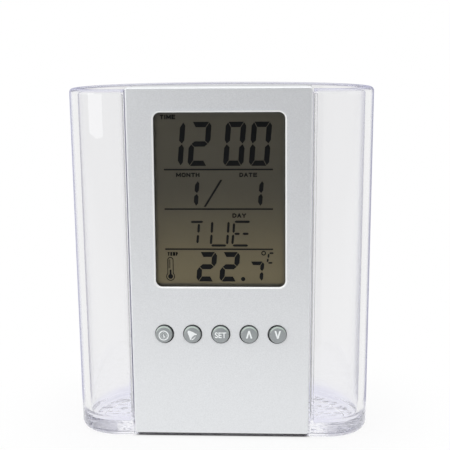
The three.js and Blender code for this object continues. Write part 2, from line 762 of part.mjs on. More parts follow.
function makeCell({ z, side }) {
  const nubEnd = contactInner - contactGap;
  const shoulder = nubEnd - cellNubLength;
  const foot = shoulder - cellLength;
  const profile = [
    [0, foot],
    [cellRadius - cellEdge, foot],
    [cellRadius, foot + cellEdge],
    [cellRadius, shoulder - cellEdge],
    [cellRadius - cellEdge, shoulder],
    [cellNubRadius, shoulder],
    [cellNubRadius, nubEnd],
    [0, nubEnd],
  ].map(([radius, along]) => new THREE.Vector2(radius, along));
  const geometry = new THREE.LatheGeometry(profile, roundSides);
  geometry.rotateZ((-side * Math.PI) / 2);
  geometry.translate(0, deep(cellDepth), z);
  return toSolid(geometry);
}

// A contact is a thin plate against the bay's end wall, behind one cell's end or both.
function makeContact(side, bottom, top) {
  const [outerX, innerX] = [bayHalfWidth - contactGap, contactInner];
  const [left, right] = side > 0 ? [innerX, outerX] : [-outerX, -innerX];
  return box(left, right, cellDepth - contactHalfDepth, cellDepth + contactHalfDepth, bottom, top);
}

// A spring stands on its contact and narrows towards the flat end of its cell.
function springPoints({ z, side }) {
  const cellFoot = contactInner - contactGap - cellNubLength - cellLength;
  const start = contactInner - springWireRadius - springEndGap;
  const end = -cellFoot + springWireRadius + springEndGap;
  const count = springTurns * springStepsPerTurn;
  return Array.from({ length: count + 1 }, (_, step) => {
    const share = step / count;
    const angle = share * springTurns * 2 * Math.PI;
    const radius = THREE.MathUtils.lerp(springWideRadius, springNarrowRadius, share);
    const x = -side * THREE.MathUtils.lerp(start, end, share);
    return new THREE.Vector3(x, deep(cellDepth) + radius * Math.cos(angle), z + radius * Math.sin(angle));
  });
}

// The least gap between two turns, measured between points at least half a turn apart.
function leastGap(points) {
  let least = Infinity;
  points.forEach((a, i) => {
    for (let j = i + springStepsPerTurn / 2; j < points.length; j += 1) {
      least = Math.min(least, a.distanceTo(points[j]));
    }
  });
  return least - 2 * springWireRadius;
}

function makeSpring(place) {
  const points = springPoints(place);
  console.log(`battery spring: least gap between turns ${leastGap(points).toFixed(2)} mm`);
  const section = new THREE.Shape(arc(0, 0, springWireRadius, springWireRadius, 0, 2 * Math.PI, springSides).slice(0, -1));
  const path = new THREE.CatmullRomCurve3(points);
  const geometry = new THREE.ExtrudeGeometry(section, {
    steps: springTurns * springStepsPerTurn,
    extrudePath: path,
    bevelEnabled: false,
  });
  return toSolid(geometry);
}

function makeScrew(x, z, headFront, tip) {
  const headBack = headFront + screwHeadHeight;
  const shank = rod(x, z, screwShankRadius, tip, headFront + screwHeadHeight / 2);
  const head = rod(x, z, screwHeadRadius, headFront, headBack);
  const recess = rod(x, z, screwRecessRadius, headBack - screwRecess, headBack + overrun, 4);
  return without(joined([shank, head]), [recess]);
}

// A case screw pulls the rear shell's post onto the panel's boss.
function makeCaseScrew([x, z]) {
  return makeScrew(x, z, bossTopDepth + postGap + postWeb, panelFace + bossFloor + screwTipGap);
}

function makeBoardScrew([x, z]) {
  return makeScrew(x, z, boardBack, boardBack - boardScrewLength);
}

// The sounder is a brass disc with a smaller ceramic disc on it, seated on a ring in the rear shell.
function makeSounder() {
  const plateBack = rearInner - sounderSeat;
  const plateFront = plateBack - sounderPlate;
  return joined([
    rod(0, sounderZ, sounderRadius - sounderRimWidth / 3, plateFront, plateBack, roundSides),
    rod(0, sounderZ, sounderCrystalRadius, plateFront - sounderCrystal, plateBack - sounderPlate / 2, roundSides),
  ]);
}

const finishes = {
  clear: { color: 0xf4f4f8, roughness: 0.04, metalness: 0, transparent: true, opacity: 0.28 },
  silver: { color: 0xd0d2d4, roughness: 0.38, metalness: 0.55 },
  lens: { color: 0xf2f4f4, roughness: 0.05, metalness: 0, transparent: true, opacity: 0.3 },
  film: { color: 0x5c594c, roughness: 0.3, metalness: 0 },
  glass: { color: 0xcfd6d2, roughness: 0.05, metalness: 0, transparent: true, opacity: 0.4 },
  mirror: { color: 0x8c8671, roughness: 0.35, metalness: 0.6 },
  white: { color: 0xe8e8e4, roughness: 0.5, metalness: 0 },
  rubber: { color: 0xc4c8ca, roughness: 0.8, metalness: 0 },
  strip: { color: 0x2b2b2c, roughness: 0.8, metalness: 0 },
  board: { color: 0x2f6b3c, roughness: 0.5, metalness: 0 },
  black: { color: 0x151515, roughness: 0.4, metalness: 0 },
  key: { color: 0xa0a3a5, roughness: 0.3, metalness: 0 },
  shell: { color: 0xc6c8ca, roughness: 0.5, metalness: 0.1 },
  cell: { color: 0x3a3d40, roughness: 0.35, metalness: 0.5 },
  nickel: { color: 0xb8babc, roughness: 0.25, metalness: 1 },
  brass: { color: 0xb5924c, roughness: 0.35, metalness: 1 },
  sensor: { color: 0x1f2226, roughness: 0.3, metalness: 0 },
};

const deskClock = new THREE.Group();
const foremost = panelFront - keyProud - keyCrown;
const rearmost = cupBackBulge - draft * rimFillet;
deskClock.position.y = -(foremost + rearmost) / 2;

function put(name, finish, solid) {
  const mesh = new THREE.Mesh(toGeometry(solid), new THREE.MeshStandardMaterial(finishes[finish]));
  mesh.name = name;
  deskClock.add(mesh);
}

const rearGlassFront = glassFront + glassThickness;

put('cup', 'clear', makeCup());
put('front_panel', 'silver', makeFrontPanel());
put('display_lens', 'lens', makeLens());
put('display_front_film', 'film', makeFilm(glassFront - filmThickness));
put('display_front_glass', 'glass', makeGlass(glassFront, glassLedge));
put('display_rear_glass', 'glass', makeGlass(rearGlassFront, 0));
put('display_reflector', 'mirror', makeFilm(rearGlassFront + glassThickness));
put('display_tray', 'white', makeTray());
put('contact_strip', 'strip', makeContactStrip());
put('circuit_board', 'board', makeBoard());
boardScrewPlaces.forEach((place, number) => put(`board_screw_${number + 1}`, 'nickel', makeBoardScrew(place)));
put('chip_blob', 'black', makeChip());
put('quartz_crystal', 'nickel', makeCrystal());
put('capacitor', 'black', makeCapacitor());
put('temperature_sensor', 'sensor', makeSensor());
put('rubber_pad', 'rubber', makePad());
['time', 'alarm', 'set', 'up', 'down'].forEach((use, number) => put(`button_${use}`, 'key', makeKey(number)));
put('rear_shell', 'shell', makeRearShell());
screwPlaces.forEach((place, number) => put(`case_screw_${number + 1}`, 'nickel', makeCaseScrew(place)));
put('sounder', 'brass', makeSounder());
put('battery_lower', 'cell', makeCell(cellPlaces[0]));
put('battery_upper', 'cell', makeCell(cellPlaces[1]));
put('contact_bridge', 'nickel', makeContact(-1, lowerCellZ - contactHalfHeight, lowerCellZ + cellPitch + contactHalfHeight));
put('contact_plus', 'nickel', makeContact(1, lowerCellZ - contactHalfHeight, lowerCellZ + contactHalfHeight));
put('contact_minus', 'nickel', makeContact(1, lowerCellZ + cellPitch - contactHalfHeight, lowerCellZ + cellPitch + contactHalfHeight));
put('spring_lower', 'nickel', makeSpring(cellPlaces[0]));
put('spring_upper', 'nickel', makeSpring(cellPlaces[1]));
put('battery_door', 'shell', makeDoor());

export default deskClock;
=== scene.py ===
import math

import bmesh
import bpy
from mathutils import Matrix, Vector


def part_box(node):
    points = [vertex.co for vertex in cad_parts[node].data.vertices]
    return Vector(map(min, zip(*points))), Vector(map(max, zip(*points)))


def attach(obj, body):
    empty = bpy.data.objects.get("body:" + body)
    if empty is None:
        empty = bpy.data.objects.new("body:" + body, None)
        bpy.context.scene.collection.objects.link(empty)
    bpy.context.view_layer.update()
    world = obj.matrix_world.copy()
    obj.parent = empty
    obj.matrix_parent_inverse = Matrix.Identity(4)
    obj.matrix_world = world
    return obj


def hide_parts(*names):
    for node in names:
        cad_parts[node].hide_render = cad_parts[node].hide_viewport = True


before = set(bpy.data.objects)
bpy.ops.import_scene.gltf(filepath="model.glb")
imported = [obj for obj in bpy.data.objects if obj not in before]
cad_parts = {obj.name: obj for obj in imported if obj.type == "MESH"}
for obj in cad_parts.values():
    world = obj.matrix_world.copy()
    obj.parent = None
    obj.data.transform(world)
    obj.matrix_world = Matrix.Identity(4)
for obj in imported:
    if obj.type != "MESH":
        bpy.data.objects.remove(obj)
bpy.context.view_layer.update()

scene = bpy.context.scene
mm = 0.001

# The camera. It stands in front of the clock, a little above it and to the right of its middle, with a
# long lens. Its aim is a place in millimetres from the middle of the cup's foot.
aim = Vector((0.936, -9.916, 67.40))
camera_distance = 385.4
camera_rise, camera_swing, camera_roll = (math.radians(angle) for angle in (9.516, 3.41, -0.504))
backward = Vector((
    math.sin(camera_swing) * math.cos(camera_rise),
    -math.cos(camera_swing) * math.cos(camera_rise),
    math.sin(camera_rise),
))
level = Vector((math.cos(camera_swing), math.sin(camera_swing), 0))
upward = backward.cross(level)
camera_right = math.cos(camera_roll) * level + math.sin(camera_roll) * upward
camera_up = math.cos(camera_roll) * upward - math.sin(camera_roll) * level
camera = bpy.data.objects.new("camera", bpy.data.cameras.new("camera"))
camera.data.lens = 94.96
camera.data.sensor_width = 36
camera.data.clip_start = 0.01
camera.data.clip_end = 60
camera_turn = Matrix((camera_right, camera_up, backward)).transposed().to_4x4()
camera.matrix_world = Matrix.Translation((aim + camera_distance * backward) * mm) @ camera_turn
scene.collection.objects.link(camera)
scene.camera = camera

# The cup. One clear polystyrene injection moulding with a flat upright front, a half-elliptical back
# and a thick base. The slot for the clock is moulded in its front, with a rail and a bead on each side
# that run in the grooves of the clock. Its walls are glassy, with a painted lavender shade where they
# are seen at a grazing angle and on the rim, and its underside below the clock carries a painted
# shadow, dark as the contact shadow under the panel.
cup_half_width = 48.5
cup_corner = 13.0
cup_side_straight = 0.6
cup_bulge = 35.2
cup_lean = math.tan(math.radians(0.8))
cup_height = 112.0
cup_wall = 2.6
cup_base = 4.3
foot_round = 2.9
rim_round = 1.3
rim_inner_round = 0.5
floor_round = 3.0
foot_ring = 4.0
foot_recess = 0.5
panel_foot, panel_top = 1.4, 112.6
clock_half_foot, clock_half_top = 28.0, 29.05
clock_depth = 15.4
panel_proud = 0.5
slot_gap = 0.35
slot_round = 0.55
groove_front, groove_back = 7.0, 9.4
rail_thickness = 1.2
rail_top = 110.5
rail_edge, rail_round = 0.3, 0.09
rail_front, rail_back = 2.1, 10
bead_root, bead_tip = -0.55, -0.85
root_gap, tip_gap = 0.4, 0.7
# Painted shadow: a near-black tone that stands in for the contact shadow under the clock, painted on the cup's
# underside and on the floor.
painted_shadow_tone = (0.10, 0.08, 0.11, 1)

face_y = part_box("front_panel")[0].y / mm
widest_y = face_y + panel_proud + cup_corner + cup_side_straight


def arc(centre_x, centre_y, radius_x, radius_y, start, end, steps):
    """Points round part of an ellipse, from one angle to another in degrees."""
    points = []
    for step in range(steps + 1):
        angle = math.radians(start + (end - start) * step / steps)
        points.append((centre_x + radius_x * math.cos(angle), centre_y + radius_y * math.sin(angle)))
    return points


def solid(name, rings):
    """A closed body through rings of points in millimetres, with flat ends."""
    count = len(rings[0])
    made = bmesh.new()
    rows = [[made.verts.new(Vector(point) * mm) for point in ring] for ring in rings]
    for row, other in zip(rows, rows[1:]):
        for i in range(count):
            j = (i + 1) % count
            made.faces.new((row[i], row[j], other[j], other[i]))
    made.faces.new(rows[0])
    made.faces.new(rows[-1])
    bmesh.ops.recalc_face_normals(made, faces=made.faces)
    return as_piece(name, made)


def as_piece(name, made):
    """A scene object from a bmesh."""
    mesh = bpy.data.meshes.new(name)
    made.to_mesh(mesh)
    made.free()
    piece = bpy.data.objects.new(name, mesh)
    scene.collection.objects.link(piece)
    return piece


def settle(piece):
    """Makes a piece and its modifiers one plain mesh."""
    graph = bpy.context.evaluated_depsgraph_get()
    mesh = bpy.data.meshes.new_from_object(piece.evaluated_get(graph))
    piece.modifiers.clear()
    piece.data = mesh
    mesh.name = piece.name
    return piece


def worked(piece, others, operation="DIFFERENCE"):
    """Cuts other bodies out of a piece, or joins them to it, and uses them up."""
    for other in others:
        change = piece.modifiers.new("worked", "BOOLEAN")
        change.operation = operation
        change.solver = "EXACT"
        change.object = other
        settle(piece)
        bpy.data.objects.remove(other)
    return piece


def polished(piece, sharp_from=32):
    """Smooth rounds and true flats: the flats rule the shading where they meet a round."""
    piece.data.shade_smooth()
    piece.data.set_sharp_from_angle(angle=math.radians(sharp_from))
    weighted = piece.modifiers.new("true flats", "WEIGHTED_NORMAL")
    weighted.keep_sharp = True
    return settle(piece)


def deep(depth):
    """The place of a depth into the clock, counted from the face of its front panel."""
    return face_y + depth


def upright(name, sections):
    """A closed body through upright outlines (X across, Z up), each at its depth into the clock."""
    return solid(name, [[(x, deep(depth), z) for x, z in outline] for outline, depth in sections])


def clock_half_width(z):
    share = (z - panel_foot) / (panel_top - panel_foot)
    return clock_half_foot + (clock_half_top - clock_half_foot) * share


def slanted(bottom, top, spread):
    """An outline along the clock's two slanting sides, spread outwards from them."""
    low, high = clock_half_width(bottom) + spread, clock_half_width(top) + spread
    return [(-low, bottom), (low, bottom), (high, top), (-high, top)]


def cup_ring(height, inset):
    lean = cup_lean * (cup_height - height)
    half = cup_half_width - lean - inset
    bulge = cup_bulge - lean - inset
    radius = cup_corner - inset
    plan = arc(half - radius, -cup_side_straight, radius, radius, -90, 0, 20)
    plan += arc(0, 0, half, bulge, 0, 180, 112)
    plan += arc(radius - half, -cup_side_straight, radius, radius, 180, 270, 20)
    return [(x, widest_y + y, height) for x, y in plan]


def cup_rings():
    """Heights and insets up the outside of the cup, over its rim and down to its floor."""
    ring_inner = foot_round + foot_ring
    path = [(foot_recess, ring_inner + 0.3), (0.1, ring_inner), (0, ring_inner - 0.2)]
    path += [(foot_round - r, foot_round - s) for s, r in arc(0, 0, foot_round, foot_round, 90, 0, 8)]
    path += [(foot_round + 0.6, 0), (cup_height - rim_round - 0.6, 0)]
    path += [(cup_height - rim_round + r, rim_round - s) for s, r in arc(0, 0, rim_round, rim_round, 0, 90, 8)]
    inner = cup_wall - rim_inner_round
    path += [(cup_height - rim_inner_round + r, inner + s)
             for s, r in arc(0, 0, rim_inner_round, rim_inner_round, 90, 0, 5)]
    path += [(cup_height - rim_inner_round - 0.6, cup_wall), (cup_base + floor_round + 0.6, cup_wall)]
    path += [(cup_base + floor_round - r, cup_wall + floor_round - s)
             for s, r in arc(0, 0, floor_round, floor_round, 0, 90, 8)]
    path += [(cup_base, cup_wall + floor_round + 0.6)]
    return [cup_ring(height, inset) for height, inset in path]


def cup_rail(side):
    """A rail beside the slot with its bead, from the floor of the cup to just under the rim."""
    section = [
        (slot_gap, rail_front), (slot_gap, groove_front + root_gap), (bead_root, groove_front + root_gap),
        (bead_tip, groove_front + tip_gap), (bead_tip, groove_back - tip_gap), (bead_root, groove_back - root_gap),
        (slot_gap, groove_back - root_gap), (slot_gap, rail_back - rail_edge),
        (slot_gap + rail_round, rail_back - rail_round), (slot_gap + rail_edge, rail_back),
        (slot_gap + rail_thickness - rail_edge, rail_back),
        (slot_gap + rail_thickness - rail_round, rail_back - rail_round),
        (slot_gap + rail_thickness, rail_back - rail_edge), (slot_gap + rail_thickness, rail_front),
    ]
    rings = []
    for z in (cup_base - 1, rail_top - 20, rail_top):
        rings.append([(side * (clock_half_width(z) + spread), deep(depth), z) for spread, depth in section])
    return solid("rail", rings)


cup = solid("clear_cup", cup_rings())
wall_back = panel_proud + cup_wall
mouth = [(slanted(-1, cup_height + 1, slot_gap + slot_round + 0.02), depth) for depth in (-1, panel_proud - 0.01)]
mouth += [
    (slanted(-1, cup_height + 1, slot_gap + slot_round - reach), panel_proud + slot_round - rise)
    for rise, reach in arc(0, 0, slot_round, slot_round, 9, 90, 6)
]
worked(cup, [
    upright("slot", [(slanted(-1, cup_height + 1, slot_gap), depth) for depth in (-1, wall_back)]),
    upright("bay", [(slanted(cup_base, cup_height + 1, slot_gap), depth) for depth in (-1, clock_depth + 0.3)]),
    upright("mouth", mouth),
])
worked(cup, [cup_rail(-1), cup_rail(1)], "UNION")
polished(cup)


def recipe(name):
    """An empty node material, its tree and the place on the piece."""
    made = bpy.data.materials.new(name)
    made.use_nodes = True
    tree = made.node_tree
    tree.nodes.clear()
    return made, tree, node(tree, "ShaderNodeTexCoord").outputs["Object"]


def node(tree, kind, sources=None, **settings):
    """A node with its settings, fed by plain values, by sockets or by the first outputs of other nodes."""
    made = tree.nodes.new(kind)
    for setting, value in settings.items():
        setattr(made, setting, value)
    for socket, source in (sources or {}).items():
        if isinstance(source, bpy.types.Node):
            source = source.outputs[0]
        if isinstance(source, bpy.types.NodeSocket):
            tree.links.new(source, made.inputs[socket])
        else:
            made.inputs[socket].default_value = source
    return made


def axes_of(tree, place):
    """The X, Y and Z of a place or of a direction."""
    return node(tree, "ShaderNodeSeparateXYZ", {"Vector": place}).outputs


def unsigned(tree, value):
    """A value without its sign."""
    return node(tree, "ShaderNodeMath", {0: value}, operation="ABSOLUTE")


def mixed(tree, share, first, second):
    """Two colours mixed by a share. These are the colour sockets of the node."""
    return node(tree, "ShaderNodeMix", {0: share, 6: first, 7: second}, data_type="RGBA").outputs[2]


def ranged(tree, value, low, high):
    """A value from 0 to 1 spread between two ends."""
    return node(tree, "ShaderNodeMapRange", {"Value": value, "To Min": low, "To Max": high})


def noise(tree, place, pitch, detail=2.0, stretch=(1, 1, 1)):
    """Noise with lumps of about this many millimetres."""
    scaled = node(tree, "ShaderNodeMapping", {"Vector": place, "Scale": stretch})
    return node(tree, "ShaderNodeTexNoise", {"Vector": scaled, "Scale": 1 / (pitch * mm), "Detail": detail})


def relief(tree, height, depth, under=None):
    """A bump of this many millimetres, laid over another one if there is one."""
    sources = {"Height": height, "Distance": depth * mm, "Strength": 1.0}
    if under is not None:
        sources["Normal"] = under
    return node(tree, "ShaderNodeBump", sources)


def smooth_step(tree, value, start, end, low=0.0):
    """A share that rises softly from 0, or another low end, at the start to 1 at the end."""
    sources = {"Value": value, "From Min": start, "From Max": end, "To Min": low}
    return node(tree, "ShaderNodeMapRange", sources, interpolation_type="SMOOTHSTEP")


def sum_of(tree, first, second, way="MULTIPLY"):
    """The product of two values, or another sum of them."""
    return node(tree, "ShaderNodeMath", {0: first, 1: second}, operation=way)


def dress(piece, *finishes):
    """Gives a piece these finishes alone."""
    piece.data.materials.clear()
    for finish in finishes:
        piece.data.materials.append(finish)


def let_through(tree, surface, lamp_tone):
    """Lets lamps through a clear surface to what is behind it."""
    lamps = node(tree, "ShaderNodeLightPath").outputs["Is Shadow Ray"]
    through = node(tree, "ShaderNodeBsdfTransparent", {"Color": lamp_tone})
    return node(tree, "ShaderNodeMixShader", {0: lamps, 1: surface, 2: through})


polystyrene, tree, place = recipe("clear polystyrene")
spot = axes_of(tree, place)
height = spot["Z"]
low_down = smooth_step(tree, height, 26 * mm, 5 * mm)
geometry = node(tree, "ShaderNodeNewGeometry").outputs
turned_down = unsigned(tree, axes_of(tree, geometry["Normal"])["Z"])
underside = sum_of(tree, smooth_step(tree, height, 2.4 * mm, 0.5 * mm), smooth_step(tree, turned_down, 0.8, 0.97))
aside = unsigned(tree, spot["X"])
# Where the painted shadow goes on the cup: its underside below the clock.
foot = sum_of(tree, smooth_step(tree, aside, 28.5 * mm, 27 * mm), smooth_step(tree, spot["Y"], -14 * mm, -17 * mm))
foot = sum_of(tree, foot, underside)
haze = noise(tree, place, 1.4, 3.0)
flow = relief(tree, noise(tree, place, 9, 1.0, (1, 1, 0.45)), 0.008)
stipple = node(tree, "ShaderNodeTexVoronoi", {
    "Vector": place, "Scale": 1 / (2.4 * mm)}, feature="SMOOTH_F1")
sink = node(tree, "ShaderNodeBump", {
    "Height": noise(tree, place, 6, 1.0), "Distance": 0.09 * mm, "Strength": low_down, "Normal": flow})
stippled = node(tree, "ShaderNodeBump", {
    "Height": stipple, "Distance": 0.3 * mm, "Strength": underside, "Normal": sink})
surface = node(tree, "ShaderNodeBsdfPrincipled", {
    "Base Color": mixed(tree, haze, (0.992, 0.992, 0.998, 1), (0.985, 0.985, 0.994, 1)),
    "Roughness": sum_of(tree, ranged(tree, haze, 0.004, 0.03), sum_of(tree, underside, 0.1), "ADD"),
    "Normal": stippled,
    "IOR": 1.59,
    "Transmission Weight": 1.0,
})
# Painted shade: a lavender diffuse tone on the walls where they are seen at a grazing angle and on the rim,
# standing in for the dark outlines of the clear walls, and the painted shadow below the clock.
painted_edge_and_shadow_tone = mixed(tree, foot, (0.46, 0.46, 0.60, 1), painted_shadow_tone)
painted_edge_and_shadow = node(tree, "ShaderNodeBsdfDiffuse", {"Color": painted_edge_and_shadow_tone, "Normal": stippled})
grazing = smooth_step(tree, node(tree, "ShaderNodeLayerWeight", {"Blend": 0.5}).outputs["Facing"], 0.58, 0.85)
grazing = sum_of(tree, grazing, smooth_step(tree, height, 7 * mm, 12 * mm))
grazing = sum_of(tree, grazing, sum_of(tree, 1.0, geometry["Backfacing"], "SUBTRACT"))
rim = smooth_step(tree, height, 110.9 * mm, 111.5 * mm)
painted_shade_share = sum_of(tree, sum_of(tree, grazing, 0.9), sum_of(tree, rim, 0.4), "MAXIMUM")
painted_shade_share = sum_of(tree, painted_shade_share, sum_of(tree, foot, 0.95), "MAXIMUM")
surface = node(tree, "ShaderNodeMixShader", {0: painted_shade_share, 1: surface, 2: painted_edge_and_shadow})
body = node(tree, "ShaderNodeVolumeAbsorption", {"Color": (0.82, 0.82, 0.88, 1), "Density": 3.0})
node(tree, "ShaderNodeOutputMaterial", {
    "Surface": let_through(tree, surface, (0.985, 0.985, 0.99, 1)), "Volume": body})
dress(cup, polystyrene)
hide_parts("cup")
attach(cup, "cup")

# The front panel. A shallow styrene tray, sprayed satin silver on its face and sides, with a bevelled
# window, five round key holes and a skirt. Bosses behind it take the case screws, posts take the board.
panel_bottom = 1.65
panel_face = 2.0
panel_side = 1.6
panel_lip = 1.2
panel_edge = 0.6
panel_corner = 0.9
panel_back = 7.0
clock_floor = 4.6
window_half_width, window_half_height = 20.5, 27.55
window_shift = 0.15
window_middle = 77.4
window_corner = 2.0
window_bevel = 0.05
lens_seat = 1.0
lens_lap = 1.9
key_hole = 3.02
key_height = 34.62
key_pitch, key_shift = 8.95, 0.12
boss_radius, boss_bore = 2.0, 0.8
boss_top = 8.6
board_post = 1.5
board_front, board_back = 6.6, 7.8
case_screws = [(-20.0, 108.8), (20.0, 108.8), (-23.2, 32.1), (23.2, 32.1)]
board_screws = [(-23.0, 42.2), (23.0, 42.2)]


def rounded(low_x, high_x, low_z, high_z, radius, steps):
    """A symmetrical outline round four corner centres, whose right ones are given."""
    centres = ((low_x, low_z), (high_x, high_z), (-high_x, high_z), (-low_x, low_z))
    return [point for number, (x, z) in enumerate(centres)
            for point in arc(x, z, radius, radius, 90 * number - 90, 90 * number, steps)]


def clock_outline(bottom, top, inset, radius):
    low, high = bottom + inset, top - inset
    low_x, high_x = clock_half_width(low) - inset - radius, clock_half_width(high) - inset - radius
    return rounded(low_x, high_x, low + radius, high - radius, radius, 8)


def window_outline(spread, radius):
    x, z = window_half_width + spread - radius, window_half_height + spread - radius
    outline = rounded(x, x, window_middle - z, window_middle + z, radius, 10)
    return [(window_shift + across, rise) for across, rise in outline]


def block(name, left, right, front, back, bottom, top):
    outline = [(left, bottom), (right, bottom), (right, top), (left, top)]
    return upright(name, [(outline, front), (outline, back)])


def turned(name, x, z, profile, sides=72):
    """A round body on an axis along the depth. The profile gives radius and depth."""
    made = bmesh.new()
    rows = []
    for radius, depth in profile:
        turns = arc(x, z, radius, radius, 0, 360, sides)[:-1] if radius > 0 else [(x, z)]
        rows.append([made.verts.new(Vector((px, deep(depth), pz)) * mm) for px, pz in turns])
    close_rows(made, rows, sides)
    return as_piece(name, made)


def close_rows(made, rows, sides):
    """Faces between the rings of a turned body, where a ring of one point is a pole."""
    for row, other in zip(rows, rows[1:]):
        for i in range(sides):
            j = (i + 1) % sides
            corners = [row[i % len(row)], row[j % len(row)], other[j % len(other)], other[i % len(other)]]
            made.faces.new(list(dict.fromkeys(corners)))
    for row in (rows[0], rows[-1]):
        if len(row) > 1:
            made.faces.new(row)
    bmesh.ops.recalc_face_normals(made, faces=made.faces)


def seen(red, green, blue):
    """A colour as a screen shows it, from 0 to 255, as the linear one that a shader takes."""
    return tuple(((part / 255 + 0.055) / 1.055) ** 2.4 for part in (red, green, blue)) + (1,)


def rod(x, z, radius, front, back, sides=48):
    return turned("rod", x, z, [(radius, front), (radius, back)], sides)


panel_rings = [
    (clock_outline(panel_bottom, panel_top, panel_edge - rise, panel_corner - panel_edge + rise),
     panel_edge - reach)
    for reach, rise in arc(0, 0, panel_edge, panel_edge, 0, 90, 6)
]
panel_rings.append((clock_outline(panel_bottom, panel_top, 0, panel_corner), panel_back))
panel = upright("silver_panel", panel_rings)
window_edge = 0.4
window_cut = [
    (window_outline(window_edge + 0.1, window_corner + window_edge), -1),
    (window_outline(window_edge + 0.06, window_corner + window_edge), 0),
    (window_outline(window_edge - 0.06, window_corner + window_edge), 0.05),
    (window_outline(0.03, window_corner), window_edge),
    (window_outline(-0.04, window_corner), window_edge + 0.12),
    (window_outline(-window_bevel, window_corner - window_bevel), lens_seat),
    (window_outline(-window_bevel, window_corner - window_bevel), panel_face + 1),
]
key_places = [((number - 2) * key_pitch + key_shift, key_height) for number in range(5)]
hole_profile = [(key_hole + 0.12, -1), (key_hole + 0.1, 0), (key_hole + 0.03, 0.04),
                (key_hole, 0.12), (key_hole, 3)]
panel_cuts = [
    block("lip relief", -31, 31, panel_face, panel_back + 1, 0, clock_floor),
    upright("hollow", [
        (clock_outline(clock_floor + panel_lip - panel_side, panel_top, panel_side, panel_corner), depth)
        for depth in (panel_face, panel_back + 1)
    ]),
    upright("window", window_cut),
    upright("lens seat", [
        (window_outline(lens_lap, window_corner), depth) for depth in (lens_seat, panel_face + 1)]),
]
panel_cuts += [turned("key hole", x, z, hole_profile) for x, z in key_places]
worked(panel, panel_cuts)
worked(panel, [rod(x, z, boss_radius, panel_face - 0.2, boss_top) for x, z in case_screws], "UNION")
worked(panel, [rod(x, z, board_post, panel_face - 0.2, board_front) for x, z in board_screws], "UNION")
worked(panel, [rod(x, z, boss_bore, panel_face + 1, boss_top + 1) for x, z in case_screws + board_screws])
polished(panel)


def surfaced(tree, values):
    """Ends a material with one plain shader."""
    node(tree, "ShaderNodeOutputMaterial", {"Surface": node(tree, "ShaderNodeBsdfPrincipled", values)})


def plain_recipe(name, dull, bright, rough_low, rough_high, grain_pitch, grain_depth,
                 metal=0.0, coat=0.0, cloud_pitch=9):
    """A moulded or plated finish: a slow drift of its colour, a fine grain in its gloss and its relief."""
    made, tree, place = recipe(name)
    grain = noise(tree, place, grain_pitch, 3.0)
    cloud = noise(tree, place, cloud_pitch, 2.0)
    tone = mixed(tree, cloud, dull, bright)
    surfaced(tree, {
        "Base Color": mixed(tree, ranged(tree, grain, 0.0, 0.3), tone, dull),
        "Metallic": metal,
        "Roughness": ranged(tree, grain, rough_low, rough_high),
        "Normal": relief(tree, grain, grain_depth),
        "Coat Weight": coat,
        "Coat Roughness": 0.08,
    })
    return made


def finished(piece, body, node_names, slot_name, *finishes):
    """Gives a new piece its finishes, its body and the solids that it stands for."""
    parted = [face.material_index for face in piece.data.polygons]
    dress(piece, *finishes)
    piece.data.polygons.foreach_set("material_index", parted)
    piece.data.validate()
    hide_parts(*node_names)
    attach(piece, body)
    return piece


silver, tree, place = recipe("satin silver paint")
flake = node(tree, "ShaderNodeTexVoronoi", {"Vector": place, "Scale": 1 / (0.16 * mm)})
flake_light = node(tree, "ShaderNodeSeparateColor", {"Color": flake.outputs["Color"]}).outputs["Red"]
cloud = noise(tree, place, 7, 3.0)
paint = mixed(tree, ranged(tree, flake_light, 0.0, 1.0), seen(221, 223, 225), seen(235, 237, 239))
paint = mixed(tree, ranged(tree, cloud, 0.0, 0.25), paint, seen(230, 231, 231))
peel = relief(tree, noise(tree, place, 0.5, 2.0), 0.0022)
surfaced(tree, {
    "Base Color": paint,
    "Metallic": 0.55,
    "Roughness": ranged(tree, flake_light, 0.36, 0.46),
    "Normal": relief(tree, flake_light, 0.0018, peel),
    "Coat Weight": 0.12,
    "Coat Roughness": 0.25,
})

# Painted highlight: the window bevel gets a near-white silver, lighter than the face, for the light that the bevel
# catches.
painted_highlight_edge = plain_recipe(
    "bright silver edge", seen(247, 248, 247), seen(252, 253, 252), 0.3, 0.4, 0.3, 0.001, 0.25)
# Dark unsprayed plastic on the back and inner faces of the panel. On the walls of the key holes and of the window
# it is also painted shade, dark as the gaps there.
dark_plastic_and_painted_shade = plain_recipe("bare dark plastic", seen(40, 41, 43), seen(48, 49, 51), 0.45, 0.6, 0.3, 0.003)
near_window = 0.7
# Faces of the window bevel take the painted highlight. Inner faces take the dark plastic, with painted shade in the
# key holes and the window.
for face in panel.data.polygons:
    centre = face.center / mm
    depth = centre.y - face_y
    within = min(clock_half_width(centre.z) - abs(centre.x), centre.z - panel_foot, panel_top - centre.z)
    by_window = (abs(centre.x) < window_half_width + near_window
                 and abs(centre.z - window_middle) < window_half_height + near_window)
    if by_window and 0.01 < depth < window_edge + 0.1:
        face.material_index = 1
    elif within > 0.7 and depth > 0.1:
        face.material_index = 2
finished(panel, "clock", ["front_panel"], "silver_plastic", silver, painted_highlight_edge, dark_plastic_and_painted_shade)

